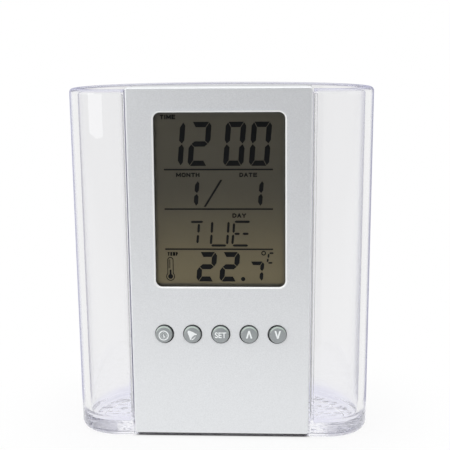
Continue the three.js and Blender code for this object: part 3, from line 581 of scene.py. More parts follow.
# The display lens. A clear acrylic sheet, cut with rounded corners and glued in the rebate behind the
# window. It is thin, polished on both sides and nearly free of tint.
lens, tree, place = recipe("clear acrylic sheet")
haze = noise(tree, place, 1.4, 3.0)
glaze = node(tree, "ShaderNodeBsdfGlossy", {
    "Color": mixed(tree, haze, (0.97, 0.975, 0.98, 1), (0.99, 0.99, 0.995, 1)),
    "Roughness": ranged(tree, haze, 0.01, 0.035),
    "Normal": relief(tree, noise(tree, place, 14, 1.0), 0.0006),
})
clear = node(tree, "ShaderNodeBsdfTransparent", {
    "Color": mixed(tree, haze, (0.975, 0.98, 0.978, 1), (0.985, 0.99, 0.988, 1))})
sheen = node(tree, "ShaderNodeMapRange", {
    "Value": node(tree, "ShaderNodeFresnel", {"IOR": 1.45}), "From Min": 0.06})
sheet = node(tree, "ShaderNodeMixShader", {0: sheen, 1: clear, 2: glaze})
node(tree, "ShaderNodeOutputMaterial", {"Surface": sheet})
dress(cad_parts["display_lens"], lens)

# The liquid crystal display. Two thin glasses with the crystal between them, a grey polarising film on
# the front and a pearl reflector film behind. What shows dark is the part of the crystal that is on: the
# time, month, day and temperature, drawn as bars, with printed headings and rules between them.
film, tree, place = recipe("grey polarising film")
grain = noise(tree, place, 0.45, 3.0)
cloud = noise(tree, place, 11, 2.0)
axes = axes_of(tree, place)
raised = smooth_step(tree, axes["Z"], 48 * mm, 84 * mm)
tone = mixed(tree, raised, seen(162, 149, 118), seen(106, 101, 89))
tone = mixed(tree, ranged(tree, grain, 0.0, 0.15), tone, seen(112, 104, 84))
# Painted shade: a grey border tone along the window's edges, darkening the film most at the bottom, stands in for
# the shade of the bezel on the film.
edge_side = smooth_step(tree, unsigned(tree, axes["X"]), 19.3 * mm, 20.5 * mm)
edge_low = smooth_step(tree, axes["Z"], 50.9 * mm, 50.4 * mm)
edge_high = smooth_step(tree, axes["Z"], 103.6 * mm, 105 * mm)
painted_bezel_shade = sum_of(tree, sum_of(tree, edge_low, edge_high, "MAXIMUM"), sum_of(tree, edge_side, 0.6), "MAXIMUM")
tone = mixed(tree, sum_of(tree, painted_bezel_shade, 0.75), tone, seen(114, 114, 108))
surfaced(tree, {
    "Base Color": mixed(tree, ranged(tree, cloud, 0.0, 0.12), tone, seen(98, 96, 80)),
    "Roughness": ranged(tree, cloud, 0.3, 0.42),
    "Normal": relief(tree, grain, 0.0006),
    "IOR": 1.3,
})
dress(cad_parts["display_front_film"], film)

glass, tree, place = recipe("display glass")
haze = noise(tree, place, 2.5, 3.0)
surface = node(tree, "ShaderNodeBsdfPrincipled", {
    "Base Color": mixed(tree, haze, (0.96, 0.985, 0.972, 1), (0.945, 0.972, 0.958, 1)),
    "Roughness": ranged(tree, haze, 0.005, 0.02),
    "Normal": relief(tree, noise(tree, place, 18, 1.0), 0.0004),
    "IOR": 1.52,
    "Transmission Weight": 1.0,
})
node(tree, "ShaderNodeOutputMaterial", {"Surface": let_through(tree, surface, (0.9, 0.93, 0.91, 1))})
for name in ("display_front_glass", "display_rear_glass"):
    dress(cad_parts[name], glass)

reflector, tree, place = recipe("pearl reflector film")
grain = noise(tree, place, 0.3, 3.0)
surfaced(tree, {
    "Base Color": mixed(tree, grain, seen(168, 163, 146), seen(186, 181, 164)),
    "Metallic": 0.6,
    "Roughness": ranged(tree, grain, 0.3, 0.45),
    "Normal": relief(tree, grain, 0.004),
})
dress(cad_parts["display_reflector"], reflector)

bar_slant = math.tan(math.radians(4.6))
bar_gap = 0.13
film_face = 2.2
ink_front, ink_back = film_face - 0.035, film_face + 0.02
bars_of = {"0": "abcdef", "1": "bc", "2": "abged", "7": "abc"}


def digit_bars(shape, left, right, bottom, top, stroke):
    """The lit bars of a seven-bar digit, whose box is measured with its slant."""
    height = top - bottom
    wide = right - left - height * bar_slant
    half, cut, gap = height / 2, stroke * 0.42, bar_gap
    upper = {
        "a": [(cut + gap, height), (wide - cut - gap, height), (wide - stroke - gap, height - stroke),
              (stroke + gap, height - stroke)],
        "b": [(wide - cut, height - gap * 1.6), (wide, height - cut * 1.7), (wide, half + stroke * 0.75),
              (wide - stroke * 0.42, half + gap), (wide - stroke, half + stroke * 0.55 + gap),
              (wide - stroke, height - stroke - gap * 0.9)],
        "g": [(stroke * 0.42 + gap, half), (stroke + gap * 0.6, half + stroke * 0.5),
              (wide - stroke - gap * 0.6, half + stroke * 0.5), (wide - stroke * 0.42 - gap, half),
              (wide - stroke - gap * 0.6, half - stroke * 0.5), (stroke + gap * 0.6, half - stroke * 0.5)],
    }
    bars = dict(upper)
    bars["d"] = [(x, height - z) for x, z in upper["a"]]
    bars["c"] = [(x, height - z) for x, z in upper["b"]]
    bars["f"] = [(wide - x, z) for x, z in upper["b"]]
    bars["e"] = [(wide - x, height - z) for x, z in upper["b"]]
    return [[(left + x + z * bar_slant, bottom + z) for x, z in bars[bar]] for bar in bars_of[shape]]


def stick(start, end, thick, point=0.5):
    """A thin bar between two places, with its ends cut to a blunt point."""
    run = Vector(end) - Vector(start)
    along = run.normalized()
    across = Vector((-along.y, along.x)) * thick / 2
    first, last = Vector(start), Vector(end)
    inner_first, inner_last = first + along * thick * point, last - along * thick * point
    corners = [first + across * 0.35, inner_first + across, inner_last + across, last + across * 0.35,
               last - across * 0.35, inner_last - across, inner_first - across, first - across * 0.35]
    return [tuple(corner) for corner in corners]


def marks(name, outlines, front, back, words=None, box=None, bold=0.0):
    """Flat marks with a hair of thickness, from closed outlines or from words fitted to a box. An outline
    inside another one leaves a hole."""
    if words is None:
        curve = bpy.data.curves.new(name, "CURVE")
        curve.dimensions = "2D"
        for outline in outlines:
            line = curve.splines.new("POLY")
            line.points.add(len(outline) - 1)
            for point, (x, z) in zip(line.points, outline):
                point.co = (x, z, 0, 1)
            line.use_cyclic_u = True
    else:
        curve = bpy.data.curves.new(name, "FONT")
        curve.body = words
        curve.offset = bold
    curve.fill_mode = "BOTH"
    curve.extrude = 1
    drawn = bpy.data.objects.new(name, curve)
    scene.collection.objects.link(drawn)
    graph = bpy.context.evaluated_depsgraph_get()
    mesh = bpy.data.meshes.new_from_object(drawn.evaluated_get(graph))
    bpy.data.objects.remove(drawn)
    made = bmesh.new()
    made.from_mesh(mesh)
    bmesh.ops.remove_doubles(made, verts=made.verts, dist=1e-5)
    low_x, high_x = min(v.co.x for v in made.verts), max(v.co.x for v in made.verts)
    low_z, high_z = min(v.co.y for v in made.verts), max(v.co.y for v in made.verts)
    left, right, bottom, top = box or (low_x, high_x, low_z, high_z)
    for vertex in made.verts:
        x = left + (vertex.co.x - low_x) / (high_x - low_x) * (right - left)
        z = bottom + (vertex.co.y - low_z) / (high_z - low_z) * (top - bottom)
        vertex.co = Vector((x, deep(front if vertex.co.z > 0 else back), z)) * mm
    bmesh.ops.recalc_face_normals(made, faces=made.faces)
    return as_piece(name, made)


def gathered(name, pieces):
    """Several bodies as one piece."""
    made = bmesh.new()
    for piece in pieces:
        made.from_mesh(piece.data)
        bpy.data.objects.remove(piece)
    return as_piece(name, made)


digits = [("1", -17.0, -10.35, 88.1, 101.85, 1.62), ("2", -9.95, -2.2, 88.1, 101.85, 1.66),
          ("0", 1.15, 8.6, 88.1, 101.85, 1.66), ("0", 9.2, 16.6, 88.1, 101.85, 1.66),
          ("1", -12.4, -6.2, 75.3, 83.5, 1.32), ("1", 7.7, 13.95, 75.3, 83.5, 1.32),
          ("2", -7.65, -0.85, 51.25, 60.75, 1.6), ("2", -0.35, 6.4, 51.25, 60.75, 1.6),
          ("7", 8.7, 14.0, 51.3, 57.72, 1.14)]
bars = [bar for shape, *size in digits for bar in digit_bars(shape, *size)]
thin = 0.72
bars += [stick(*ends, thin) for ends in (
    ((-9.1, 70.36), (-5.3, 70.4)), ((-6.56, 69.75), (-6.78, 66.95)), ((-6.9, 66.2), (-7.13, 63.6)),
    ((-2.35, 70.35), (-2.56, 66.9)), ((-2.62, 66.3), (-2.86, 63.3)), ((-2.7, 62.84), (1.95, 62.84)),
    ((2.5, 66.3), (2.27, 63.3)), ((2.8, 70.35), (2.57, 66.9)),
    ((4.5, 69.95), (4.31, 66.95)), ((4.2, 66.3), (3.92, 63.3)), ((4.75, 70.43), (9.45, 70.43)),
    ((4.62, 66.59), (6.26, 66.59)), ((7.2, 66.59), (9.05, 66.59)), ((4.1, 62.85), (8.8, 62.85)),
)]
bars += [stick(*ends, 0.56) for ends in (
    ((15.6, 60.42), (16.9, 60.42)), ((15.4, 60.2), (15.22, 58.95)), ((15.12, 58.65), (14.98, 57.55)),
    ((15.2, 57.3), (16.55, 57.3)),
)]
bars.append([(0.25, 83.7), (0.95, 83.7), (-4.3, 75.2), (-5.0, 75.2)])
rule_left, rule_right, rule_half = -17.35, 16.75, 0.24
for height in (86.95, 74.46, 61.65):
    low, high = height - rule_half, height + rule_half
    bars.append([(rule_left, low), (rule_right, low), (rule_right, high), (rule_left, high)])
bars.append(arc(7.25, 52.05, 0.68, 0.68, 0, 360, 28)[:-1])
bars += [arc(13.77, 60.4, radius, radius, 0, 360, 28)[:-1] for radius in (0.76, 0.4)]
bulb_z = 52.83
for tube, bulb, top in ((0.98, 1.4, 59.1), (0.74, 1.14, 58.84)):
    neck = math.degrees(math.asin(tube / bulb))
    outline = arc(-15.8, top - tube, tube, tube, 0, 180, 14)
    outline += arc(-15.8, bulb_z, bulb, bulb, 90 + neck, 450 - neck, 34)
    bars.append(outline)
bars.append(arc(-15.79, bulb_z, 0.78, 0.78, 112, 428, 26) + [(-15.5, 54.9), (-15.79, 55.1), (-16.08, 54.9)])
bars += [[(-16.42, 55.5 + 0.24 * step), (-15.8, 55.5 + 0.24 * step), (-15.8, 55.62 + 0.24 * step),
          (-16.42, 55.62 + 0.24 * step)] for step in range(12)]
headings = (("TIME", (-18.35, -13.55, 102.7, 104.1)), ("MONTH", (-13.55, -6.2, 84.6, 85.95)),
            ("DATE", (6.28, 11.82, 84.6, 85.95)), ("DAY", (4.0, 8.3, 71.72, 73.1)),
            ("TEMP", (-16.6, -13.4, 59.5, 60.7)))
letter_stroke, letter_gap = 0.36, 0.2
letter_widths = {"I": 0.1, "M": 1.35, "N": 1.1, "O": 1.1}
letters = {
    "A": [((0, 0), (0.5, 1), (1, 0)), ((0.2, 0.35), (0.8, 0.35))],
    "D": [((0, 0), (0, 1), (0.6, 1), (1, 0.7), (1, 0.3), (0.6, 0), (0, 0))],
    "E": [((0, 0), (0, 1), (1, 1)), ((0, 0.5), (0.9, 0.5)), ((0, 0), (1, 0))],
    "H": [((0, 0), (0, 1)), ((1, 0), (1, 1)), ((0, 0.5), (1, 0.5))],
    "I": [((0.5, 0), (0.5, 1))],
    "M": [((0, 0), (0, 1)), ((0, 1), (0.5, 0.2), (1, 1), (1, 0))],
    "N": [((0, 0), (0, 1), (1, 0), (1, 1))],
    "O": [((0, 0.2), (0, 0.8), (0.3, 1), (0.7, 1), (1, 0.8), (1, 0.2), (0.7, 0), (0.3, 0), (0, 0.2))],
    "P": [((0, 0), (0, 1), (0.75, 1), (1, 0.75), (0.75, 0.48), (0, 0.48))],
    "T": [((0, 1), (1, 1)), ((0.5, 1), (0.5, 0))],
    "Y": [((0, 1), (0.5, 0.5)), ((1, 1), (0.5, 0.5), (0.5, 0))],
}
drawn = [marks("bars", bars, ink_front, ink_back)]
for word, (left, right, bottom, top) in headings:
    tall = top - bottom - letter_stroke
    shares = [letter_widths.get(letter, 1.0) for letter in word]
    room = right - left + letter_gap - len(word) * (letter_gap + letter_stroke)
    start = left
    for letter, letter_share in zip(word, shares):
        wide = room * letter_share / sum(shares)
        corner = Vector((start, bottom)) + Vector((1, 1)) * letter_stroke / 2
        start += wide + letter_gap + letter_stroke
        for line in letters[letter]:
            points = [corner + Vector((x * wide, z * tall)) for x, z in line]
            for first, last in zip(points, points[1:]):
                along = (last - first).normalized() * letter_stroke / 2
                outline = stick(first - along, last + along, letter_stroke, 0.12)
                drawn.append(upright("stroke", [(outline, ink_front), (outline, ink_back)]))
shown = gathered("display_segments", drawn)

dark, tree, place = recipe("dark liquid crystal")
grain = noise(tree, place, 0.6, 3.0)
surfaced(tree, {
    "Base Color": mixed(tree, grain, seen(6, 7, 12), seen(11, 12, 17)),
    "Roughness": ranged(tree, grain, 0.3, 0.4),
    "IOR": 1.3,
})
shown.data.materials.append(dark)
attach(shown, "clock")

# The display tray and the contact strip. The tray is a white styrene frame that holds the glass against
# the panel and stands on the board. The strip beside it is rubber in black and grey layers, squeezed
# between the edge of the glass and the board so that each dark layer joins one track to one bar.
white = plain_recipe("white styrene", seen(222, 222, 216), seen(236, 236, 230), 0.38, 0.55, 0.25, 0.004)
dress(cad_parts["display_tray"], white)

strip, tree, place = recipe("striped contact rubber")
layers = node(tree, "ShaderNodeTexWave", {
    "Vector": place, "Scale": 1 / (0.9 * mm)}, bands_direction="X").outputs["Fac"]
grain = noise(tree, place, 0.2, 2.0)
stripe = mixed(tree, layers, seen(36, 36, 38), seen(128, 130, 132))
surfaced(tree, {
    "Base Color": mixed(tree, ranged(tree, grain, 0.0, 0.3), stripe, seen(60, 60, 62)),
    "Roughness": ranged(tree, grain, 0.6, 0.8),
    "Normal": relief(tree, grain, 0.006),
})
dress(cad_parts["contact_strip"], strip)

# The circuit board. A fibreglass board under green solder mask, screwed to two posts of the panel. Its
# back carries the chip under a bead of black resin, the quartz crystal in its tin, a capacitor in its
# sleeve and the temperature sensor, a resin bead on two leads that looks out through the vents.
board, tree, place = recipe("green solder mask")
turned_place = node(tree, "ShaderNodeMapping", {"Vector": place, "Rotation": (math.pi / 2, 0, 0)})
tracks = node(tree, "ShaderNodeTexBrick", {
    "Vector": turned_place, "Scale": 1 / (4.2 * mm), "Mortar Size": 0.05, "Mortar Smooth": 0.1,
    "Color1": seen(28, 92, 54), "Color2": seen(34, 104, 62), "Mortar": seen(70, 140, 92),
}, offset=0.37)
weave = noise(tree, place, 0.35, 3.0)
surfaced(tree, {
    "Base Color": mixed(tree, ranged(tree, weave, 0.0, 0.3), tracks, seen(24, 80, 48)),
    "Roughness": ranged(tree, weave, 0.28, 0.42),
    "Normal": relief(tree, tracks.outputs["Fac"], 0.02, relief(tree, weave, 0.003)),
})
dress(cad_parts["circuit_board"], board)


def cross_turned(name, z, depth, profile, sides=48):
    """A round body on an axis across the clock. The profile gives radius and X."""
    made = bmesh.new()
    rows = []
    for radius, x in profile:
        turns = arc(depth, z, radius, radius, 0, 360, sides)[:-1] if radius > 0 else [(depth, z)]
        rows.append([made.verts.new(Vector((x, deep(away), pz)) * mm) for away, pz in turns])
    close_rows(made, rows, sides)
    return as_piece(name, made)


black_resin = plain_recipe("black resin", seen(22, 22, 25), seen(34, 34, 37), 0.18, 0.4, 0.5, 0.01, 0.0, 0.2, 3)
nickel = plain_recipe("nickel plate", (0.66, 0.65, 0.62, 1), (0.74, 0.73, 0.71, 1), 0.16, 0.34, 0.18, 0.0015, 1.0)
chip_radius, chip_height = 5.0, 1.5
chip_sphere = (chip_radius ** 2 + chip_height ** 2) / (2 * chip_height)
chip_angle = math.degrees(math.asin(chip_radius / chip_sphere))
chip_low, chip_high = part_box("chip_blob")
chip_at = (chip_low + chip_high) / 2 / mm
chip_profile = [(x, board_back + chip_height - chip_sphere + z)
                for x, z in arc(0, 0, chip_sphere, chip_sphere, 90, 90 - chip_angle, 12)]
chip_profile[0] = (0, board_back + chip_height)
chip = turned("chip_bead", chip_at.x, chip_at.z, chip_profile + [(chip_radius, board_back)], 64)
finished(polished(chip), "clock", ["chip_blob"], "black_resin", black_resin)


def lying(name, node_name, near, far, slot_name, finish):
    """A round body that lies across the clock where its solid does. Its profile gives radius and the
    distance from the near or the far end."""
    low, high = (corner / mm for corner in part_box(node_name))
    profile = [(radius, low.x + reach) for radius, reach in near]
    profile += [(radius, high.x - reach) for radius, reach in far]
    piece = cross_turned(name, (low.z + high.z) / 2, (low.y + high.y) / 2 - face_y, profile)
    finished(polished(piece, 50), "clock", [node_name], slot_name, finish)


lying("crystal_tin", "quartz_crystal", [(0, 0), (0.8, 0), (0.96, 0.1), (1.0, 0.3)],
      [(1.0, 0.7), (0.93, 0.6), (1.0, 0.5), (0.97, 0.05), (0.9, 0), (0, 0)], "plated_steel", nickel)
lying("capacitor_can", "capacitor", [(0, 0.08), (1.55, 0.08), (1.6, 0), (1.85, 0), (2.0, 0.2)],
      [(2.0, 1.0), (1.84, 0.85), (1.84, 0.65), (2.0, 0.5), (1.95, 0.12), (1.8, 0), (1.5, 0), (1.45, 0.15),
       (0, 0.15)],
      "black_resin", black_resin)

sensor_low, sensor_high = (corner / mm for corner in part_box("temperature_sensor"))
sensor_x, sensor_z = (sensor_low.x + sensor_high.x) / 2, (sensor_low.z + sensor_high.z) / 2
bead_back = sensor_high.y - face_y
bead_radius, lead_radius, lead_reach = 1.2, 0.28, 0.7
bead = [(radius, bead_back - bead_radius + rise)
        for radius, rise in arc(0, 0, bead_radius, bead_radius, 90, -60, 16)]
bead[0] = (0, bead_back)
sensor = turned("sensor_bead", sensor_x, sensor_z, bead + [(0.5, bead_back - 2.5)], 36)
leads = [rod(sensor_x + reach, sensor_z, lead_radius, board_back, bead_back - bead_radius, 16)
         for reach in (-lead_reach, lead_reach)]
sensor = gathered("sensor_bead", [sensor] + leads)
finished(polished(sensor, 50), "clock", ["temperature_sensor"], "black_resin", black_resin)

# The rubber pad. One soft silicone sheet with a dome under each key, laid on the board. A dome snaps
# down when its key is pressed, and a carbon pill inside it closes the contact.
pad_rubber = plain_recipe("grey silicone rubber", seen(186, 189, 191), seen(202, 205, 207), 0.55, 0.75, 0.35, 0.006)
pad_low, pad_high = (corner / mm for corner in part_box("rubber_pad"))
pad_front = 5.4
pad_corner = 0.8
pad_x = pad_high.x - pad_corner
pad_outline = rounded(pad_x, pad_x, pad_low.z + pad_corner, pad_high.z - pad_corner, pad_corner, 5)
pad = upright("key_pad", [(pad_outline, pad_front), (pad_outline, board_front)])
dome_profile = [(0, 6.0), (2.6, 6.0), (2.6, 5.35), (2.5, 5.2), (2.2, 4.9), (1.75, 4.35),
                (1.6, 4.25), (1.4, 4.2), (0, 4.2)]
worked(pad, [turned("dome", x, z, dome_profile, 40) for x, z in key_places], "UNION")
finished(polished(pad), "clock", ["rubber_pad"], "key_rubber", pad_rubber)

# The five keys. Small round caps of grey ABS with a low crown and a bevelled rim, each with a flange
# behind the panel that keeps it in its hole. A white symbol is pad-printed on each crown: a clock face
# for the time, a bell for the alarm, a word for setting, and one arrow up and one down.
cap_radius = 2.72
cap_face_radius = 2.36
cap_face, cap_crown = -1.0, -1.25
cap_sphere = (cap_face_radius ** 2 + (cap_face - cap_crown) ** 2) / (2 * (cap_face - cap_crown))
print_proud, print_sunk, print_step = 0.02, 0.05, 0.45
cap_offset, cap_drop = 0.1, 0.07


def crown_depth(radius):
    return cap_crown + cap_sphere - math.sqrt(max(cap_sphere ** 2 - radius ** 2, 0))


def printed(piece, x, z):
    """Lays flat marks on the crown of a key, finely divided so that they follow it."""
    made = bmesh.new()
    made.from_mesh(piece.data)
    bpy.data.objects.remove(piece)
    for _ in range(6):
        long_edges = [edge for edge in made.edges if edge.calc_length() > print_step * mm]
        if not long_edges:
            break
        bmesh.ops.subdivide_edges(made, edges=long_edges, cuts=1)
        bmesh.ops.triangulate(made, faces=made.faces)
    for vertex in made.verts:
        back = vertex.co.y / mm > deep(0.5)
        across, rise = vertex.co.x / mm, vertex.co.z / mm
        depth = crown_depth(math.hypot(across, rise)) + (print_sunk if back else -print_proud)
        vertex.co = Vector((x + across, deep(depth), z + rise)) * mm
    return as_piece("print", made)


def clock_symbol():
    rings = [arc(0, 0, radius, radius, 0, 360, 40)[:-1] for radius in (1.64, 1.3)]
    ticks = []
    for hour in range(12):
        angle = math.radians(30 * hour)
        way = Vector((math.sin(angle), math.cos(angle)))
        ticks.append(stick(way * 0.78, way * 1.1, 0.13, 0.1))
    hands = [stick((-0.05, 0.42), (0.08, -0.72), 0.26, 0.2), stick((0.06, -0.7), (0.42, -0.18), 0.24, 0.2)]
    return [[(x, z - 0.2) for x, z in outline] for outline in rings + ticks + hands]


bell_symbol = [
    [(-1.3, 0.78), (-1.12, 0.92), (-0.86, 0.92), (-0.3, 0.74), (0.2, 0.56), (0.8, 0.2), (1.12, 0.05), (1.42, -0.1),
     (1.36, -0.34), (0.62, -0.42), (-0.12, -1.12), (-0.3, -1.76), (-0.55, -1.9), (-0.72, -1.62), (-0.82, -1.2),
     (-1.05, -0.5), (-1.3, 0.0), (-1.42, 0.4)],
    stick((-0.2, -1.86), (1.02, -0.84), 0.17, 0.2),
    arc(0.6, -1.5, 0.2, 0.2, 0, 360, 20)[:-1],
]
bell_symbol = [[(0.05 + 1.06 * x, 0.42 + 1.08 * z) for x, z in outline] for outline in bell_symbol]
up_symbol = [[(-1.02, -1.0), (-0.26, 1.5), (0.26, 1.5), (1.02, -1.0), (0.46, -1.0), (0.0, 0.62), (-0.46, -1.0)]]
down_symbol = [[(x, 0.5 - z) for x, z in reversed(up_symbol[0])]]
key_symbols = [
    ("time", clock_symbol(), None), ("alarm", bell_symbol, None), ("set", None, "SET"),
    ("up", up_symbol, None), ("down", down_symbol, None),
]

key_grey, tree, place = recipe("grey key plastic")
grain = noise(tree, place, 0.12, 3.0)
cloud = noise(tree, place, 3, 2.0)
surfaced(tree, {
    "Base Color": mixed(tree, cloud, seen(145, 150, 151), seen(153, 158, 159)),
    "Roughness": ranged(tree, grain, 0.2, 0.3),
    "Normal": relief(tree, grain, 0.0012),
    "Coat Weight": 0.3,
    "Coat Roughness": 0.06,
})
# Painted highlight: the upper part of each cap's bevelled rim is a pale mint grey, lighter than the cap, for the
# light that it catches from above. The lower part keeps the cap's grey.
key_edge_painted_highlight, tree, place = recipe("polished key edge")
axes = axes_of(tree, place)
grain = noise(tree, place, 0.12, 3.0)
upper = smooth_step(tree, axes["Z"], (key_height + 0.2) * mm, (key_height + 2.2) * mm)
surfaced(tree, {
    "Base Color": mixed(tree, upper, seen(146, 151, 150), seen(186, 200, 190)),
    "Roughness": ranged(tree, grain, 0.12, 0.2),
    "Normal": relief(tree, grain, 0.0008),
    "Coat Weight": 0.3,
    "Coat Roughness": 0.06,
})
print_white = plain_recipe("white print", seen(232, 236, 236), seen(244, 247, 247), 0.4, 0.55, 0.15, 0.001)

cap_profile = [(0, 3.5), (1.45, 3.5), (1.6, 3.35), (1.6, 2.7), (3.5, 2.7), (3.6, 2.6), (3.6, 2.2), (3.5, 2.1),
               (cap_radius, 2.1), (cap_radius, cap_face + 0.62)]
cap_profile += [(cap_radius - 0.04, cap_face + 0.46), (cap_radius - 0.14, cap_face + 0.3),
                (cap_face_radius + 0.16, cap_face + 0.12), (cap_face_radius + 0.08, cap_face + 0.05),
                (cap_face_radius, cap_face)]
cap_profile += [(cap_face_radius * share, crown_depth(cap_face_radius * share))
                for share in (0.85, 0.7, 0.55, 0.4, 0.25, 0.12)]
cap_profile.append((0, cap_crown))
for number, (use, outlines, words) in enumerate(key_symbols):
    x, z = key_places[number]
    x += (number - 2) * cap_offset
    z -= cap_drop
    box = (-1.83, 1.83, -0.94, 0.94) if words else None
    symbol = printed(marks("symbol", outlines, 0, 1, words, box, 0.02), x, z)
    cap = polished(turned("cap", x, z, cap_profile, 96), 40)
    cap.data.materials.append(key_grey)
    symbol.data.materials.append(print_white)
    made = bmesh.new()
    made.from_mesh(cap.data)
    first_print = len(made.faces)
    made.from_mesh(symbol.data)
    made.faces.ensure_lookup_table()
    for index in range(first_print, len(made.faces)):
        made.faces[index].material_index = 1
        made.faces[index].smooth = False
    for face in made.faces[:first_print]:
        middle = face.calc_center_median() / mm
        out = math.hypot(middle.x - x, middle.z - z)
        if cap_face_radius < out < cap_radius + 0.05 and middle.y < deep(cap_face + 0.5):
            face.material_index = 2
    for used in (cap, symbol):
        bpy.data.objects.remove(used)
    key = as_piece(f"key_{use}", made)
    finished(key, f"{use}_key", [f"button_{use}"], "key_plastic", key_grey, print_white, key_edge_painted_highlight)

# The rear shell. An ABS tray in silver grey with a fine spark texture outside. It has a groove down each
# side for the cup's rails, a bay for the two cells, four posts for the case screws, six sound holes and
# a row of vents over the temperature sensor.
shell_wall = 1.5
shell_corner = 0.9
shell_edge = 0.6
shell_back = clock_depth
shell_inner = shell_back - shell_wall
behind_groove = 3.0
bay_half = 24.8
bay_bottom, bay_top = 6.9, 28.4
bay_front = 3.2
door_front = 14.1
door_lap, door_gap = 1.0, 0.2
post_radius = 2.7
sounder_z = 60.0
sounder_radius = 10.0
sound_ring, sound_hole = 4.0, 1.0
vent_width, vent_height, vent_pitch = 1.2, 9.0, 2.8
screw_way = 1.15
sink_radius, sink_mouth = 2.0, 2.3
hook_middle, hook_half, hook_room = 14, 2, 2.2


def eased(piece, width, steps=2, from_angle=40):
    """Rounds every sharp edge of a moulding a little, as its mould does."""
    round_off = piece.modifiers.new("eased", "BEVEL")
    round_off.width = width * mm
    round_off.segments = steps
    round_off.limit_method = "ANGLE"
    round_off.angle_limit = math.radians(from_angle)
    round_off.use_clamp_overlap = True
    return settle(piece)


def growing(name, sizes):
    """A Geometry Nodes tree with a named input for each size."""
    tree = bpy.data.node_groups.new(name, "GeometryNodeTree")
    tree.interface.new_socket("Geometry", in_out="INPUT", socket_type="NodeSocketGeometry")
    for size, kind in sizes.items():
        tree.interface.new_socket(size, in_out="INPUT", socket_type=f"NodeSocket{kind}")
    tree.interface.new_socket("Geometry", in_out="OUTPUT", socket_type="NodeSocketGeometry")
    given = node(tree, "NodeGroupInput").outputs
    return tree, given


def grown(name, tree, values):
    """The plain mesh that a tree gives for these sizes."""
    piece = bpy.data.objects.new(name, bpy.data.meshes.new(name))
    scene.collection.objects.link(piece)
    grower = piece.modifiers.new("grown", "NODES")
    grower.node_group = tree
    for socket in tree.interface.items_tree:
        if socket.in_out == "INPUT" and socket.name in values:
            grower[socket.identifier] = values[socket.name]
    return settle(piece)


def joined(tree, *parts):
    """Several geometries as one."""
    together = node(tree, "GeometryNodeJoinGeometry")
    for part in reversed(parts):
        made = part.outputs[0] if isinstance(part, bpy.types.Node) else part
        tree.links.new(made, together.inputs["Geometry"])
    return together


def completed(tree, given, geometry):
    """Ends a tree: everything real, in one material."""
    real = node(tree, "GeometryNodeRealizeInstances", {"Geometry": geometry})
    coated = node(tree, "GeometryNodeSetMaterial", {"Geometry": real, "Material": given["Finish"]})
    node(tree, "NodeGroupOutput", {"Geometry": coated})


def set_out(tree, points, instance, **sources):
    """One shape set out on points."""
    return node(tree, "GeometryNodeInstanceOnPoints", {"Points": points, "Instance": instance, **sources})


def moved(tree, geometry, place, turn=(0, 0, 0)):
    """A geometry turned and moved."""
    return node(tree, "GeometryNodeTransform", {"Geometry": geometry, "Translation": place, "Rotation": turn})


shell_grey, tree, place = recipe("spark textured plastic")
sparks = node(tree, "ShaderNodeTexVoronoi", {"Vector": place, "Scale": 1 / (0.3 * mm)}, feature="SMOOTH_F1")
cloud = noise(tree, place, 12, 2.0)
grain = noise(tree, place, 0.22, 3.0)
surfaced(tree, {
    "Base Color": mixed(tree, cloud, seen(188, 190, 192), seen(196, 198, 200)),
    "Metallic": 0.15,
    "Roughness": ranged(tree, grain, 0.48, 0.62),
    "Normal": relief(tree, sparks, 0.022, relief(tree, grain, 0.004)),
})

holes_tree, given = growing("perforations", {
    "Holes": "Int", "Ring": "Float", "Hole": "Float", "Slots": "Int", "Slot Pitch": "Float", "Slot Size": "Vector",
    "Ring Middle": "Vector", "First Slot": "Vector", "Length": "Float", "Finish": "Material",
})
quarter_turn = (math.pi / 2, 0, 0)
ring = node(holes_tree, "GeometryNodeMeshCircle", {"Vertices": given["Holes"], "Radius": given["Ring"]})
stood = moved(holes_tree, ring, given["Ring Middle"], quarter_turn)
pin = node(holes_tree, "GeometryNodeMeshCylinder", {
    "Vertices": 40, "Radius": given["Hole"], "Depth": given["Length"]})
pins = set_out(holes_tree, stood, pin, Rotation=quarter_turn)
step = node(holes_tree, "ShaderNodeCombineXYZ", {"X": given["Slot Pitch"]})
row = node(holes_tree, "GeometryNodeMeshLine", {
    "Count": given["Slots"], "Start Location": given["First Slot"], "Offset": step})
blade = node(holes_tree, "GeometryNodeMeshCube", {"Size": given["Slot Size"]})
completed(holes_tree, given, joined(holes_tree, pins, set_out(holes_tree, row, blade)))
punch_y = deep(shell_inner + shell_wall / 2) * mm
punches = grown("punches", holes_tree, {
    "Holes": 6, "Ring": sound_ring * mm, "Hole": sound_hole * mm, "Slots": 5, "Slot Pitch": vent_pitch * mm,
    "Slot Size": (vent_width * mm, 3 * mm, vent_height * mm), "Ring Middle": (0, punch_y, sounder_z * mm),
    "First Slot": ((sensor_x - 2 * vent_pitch) * mm, punch_y, sensor_z * mm), "Length": 3 * mm,
    "Finish": shell_grey,
})

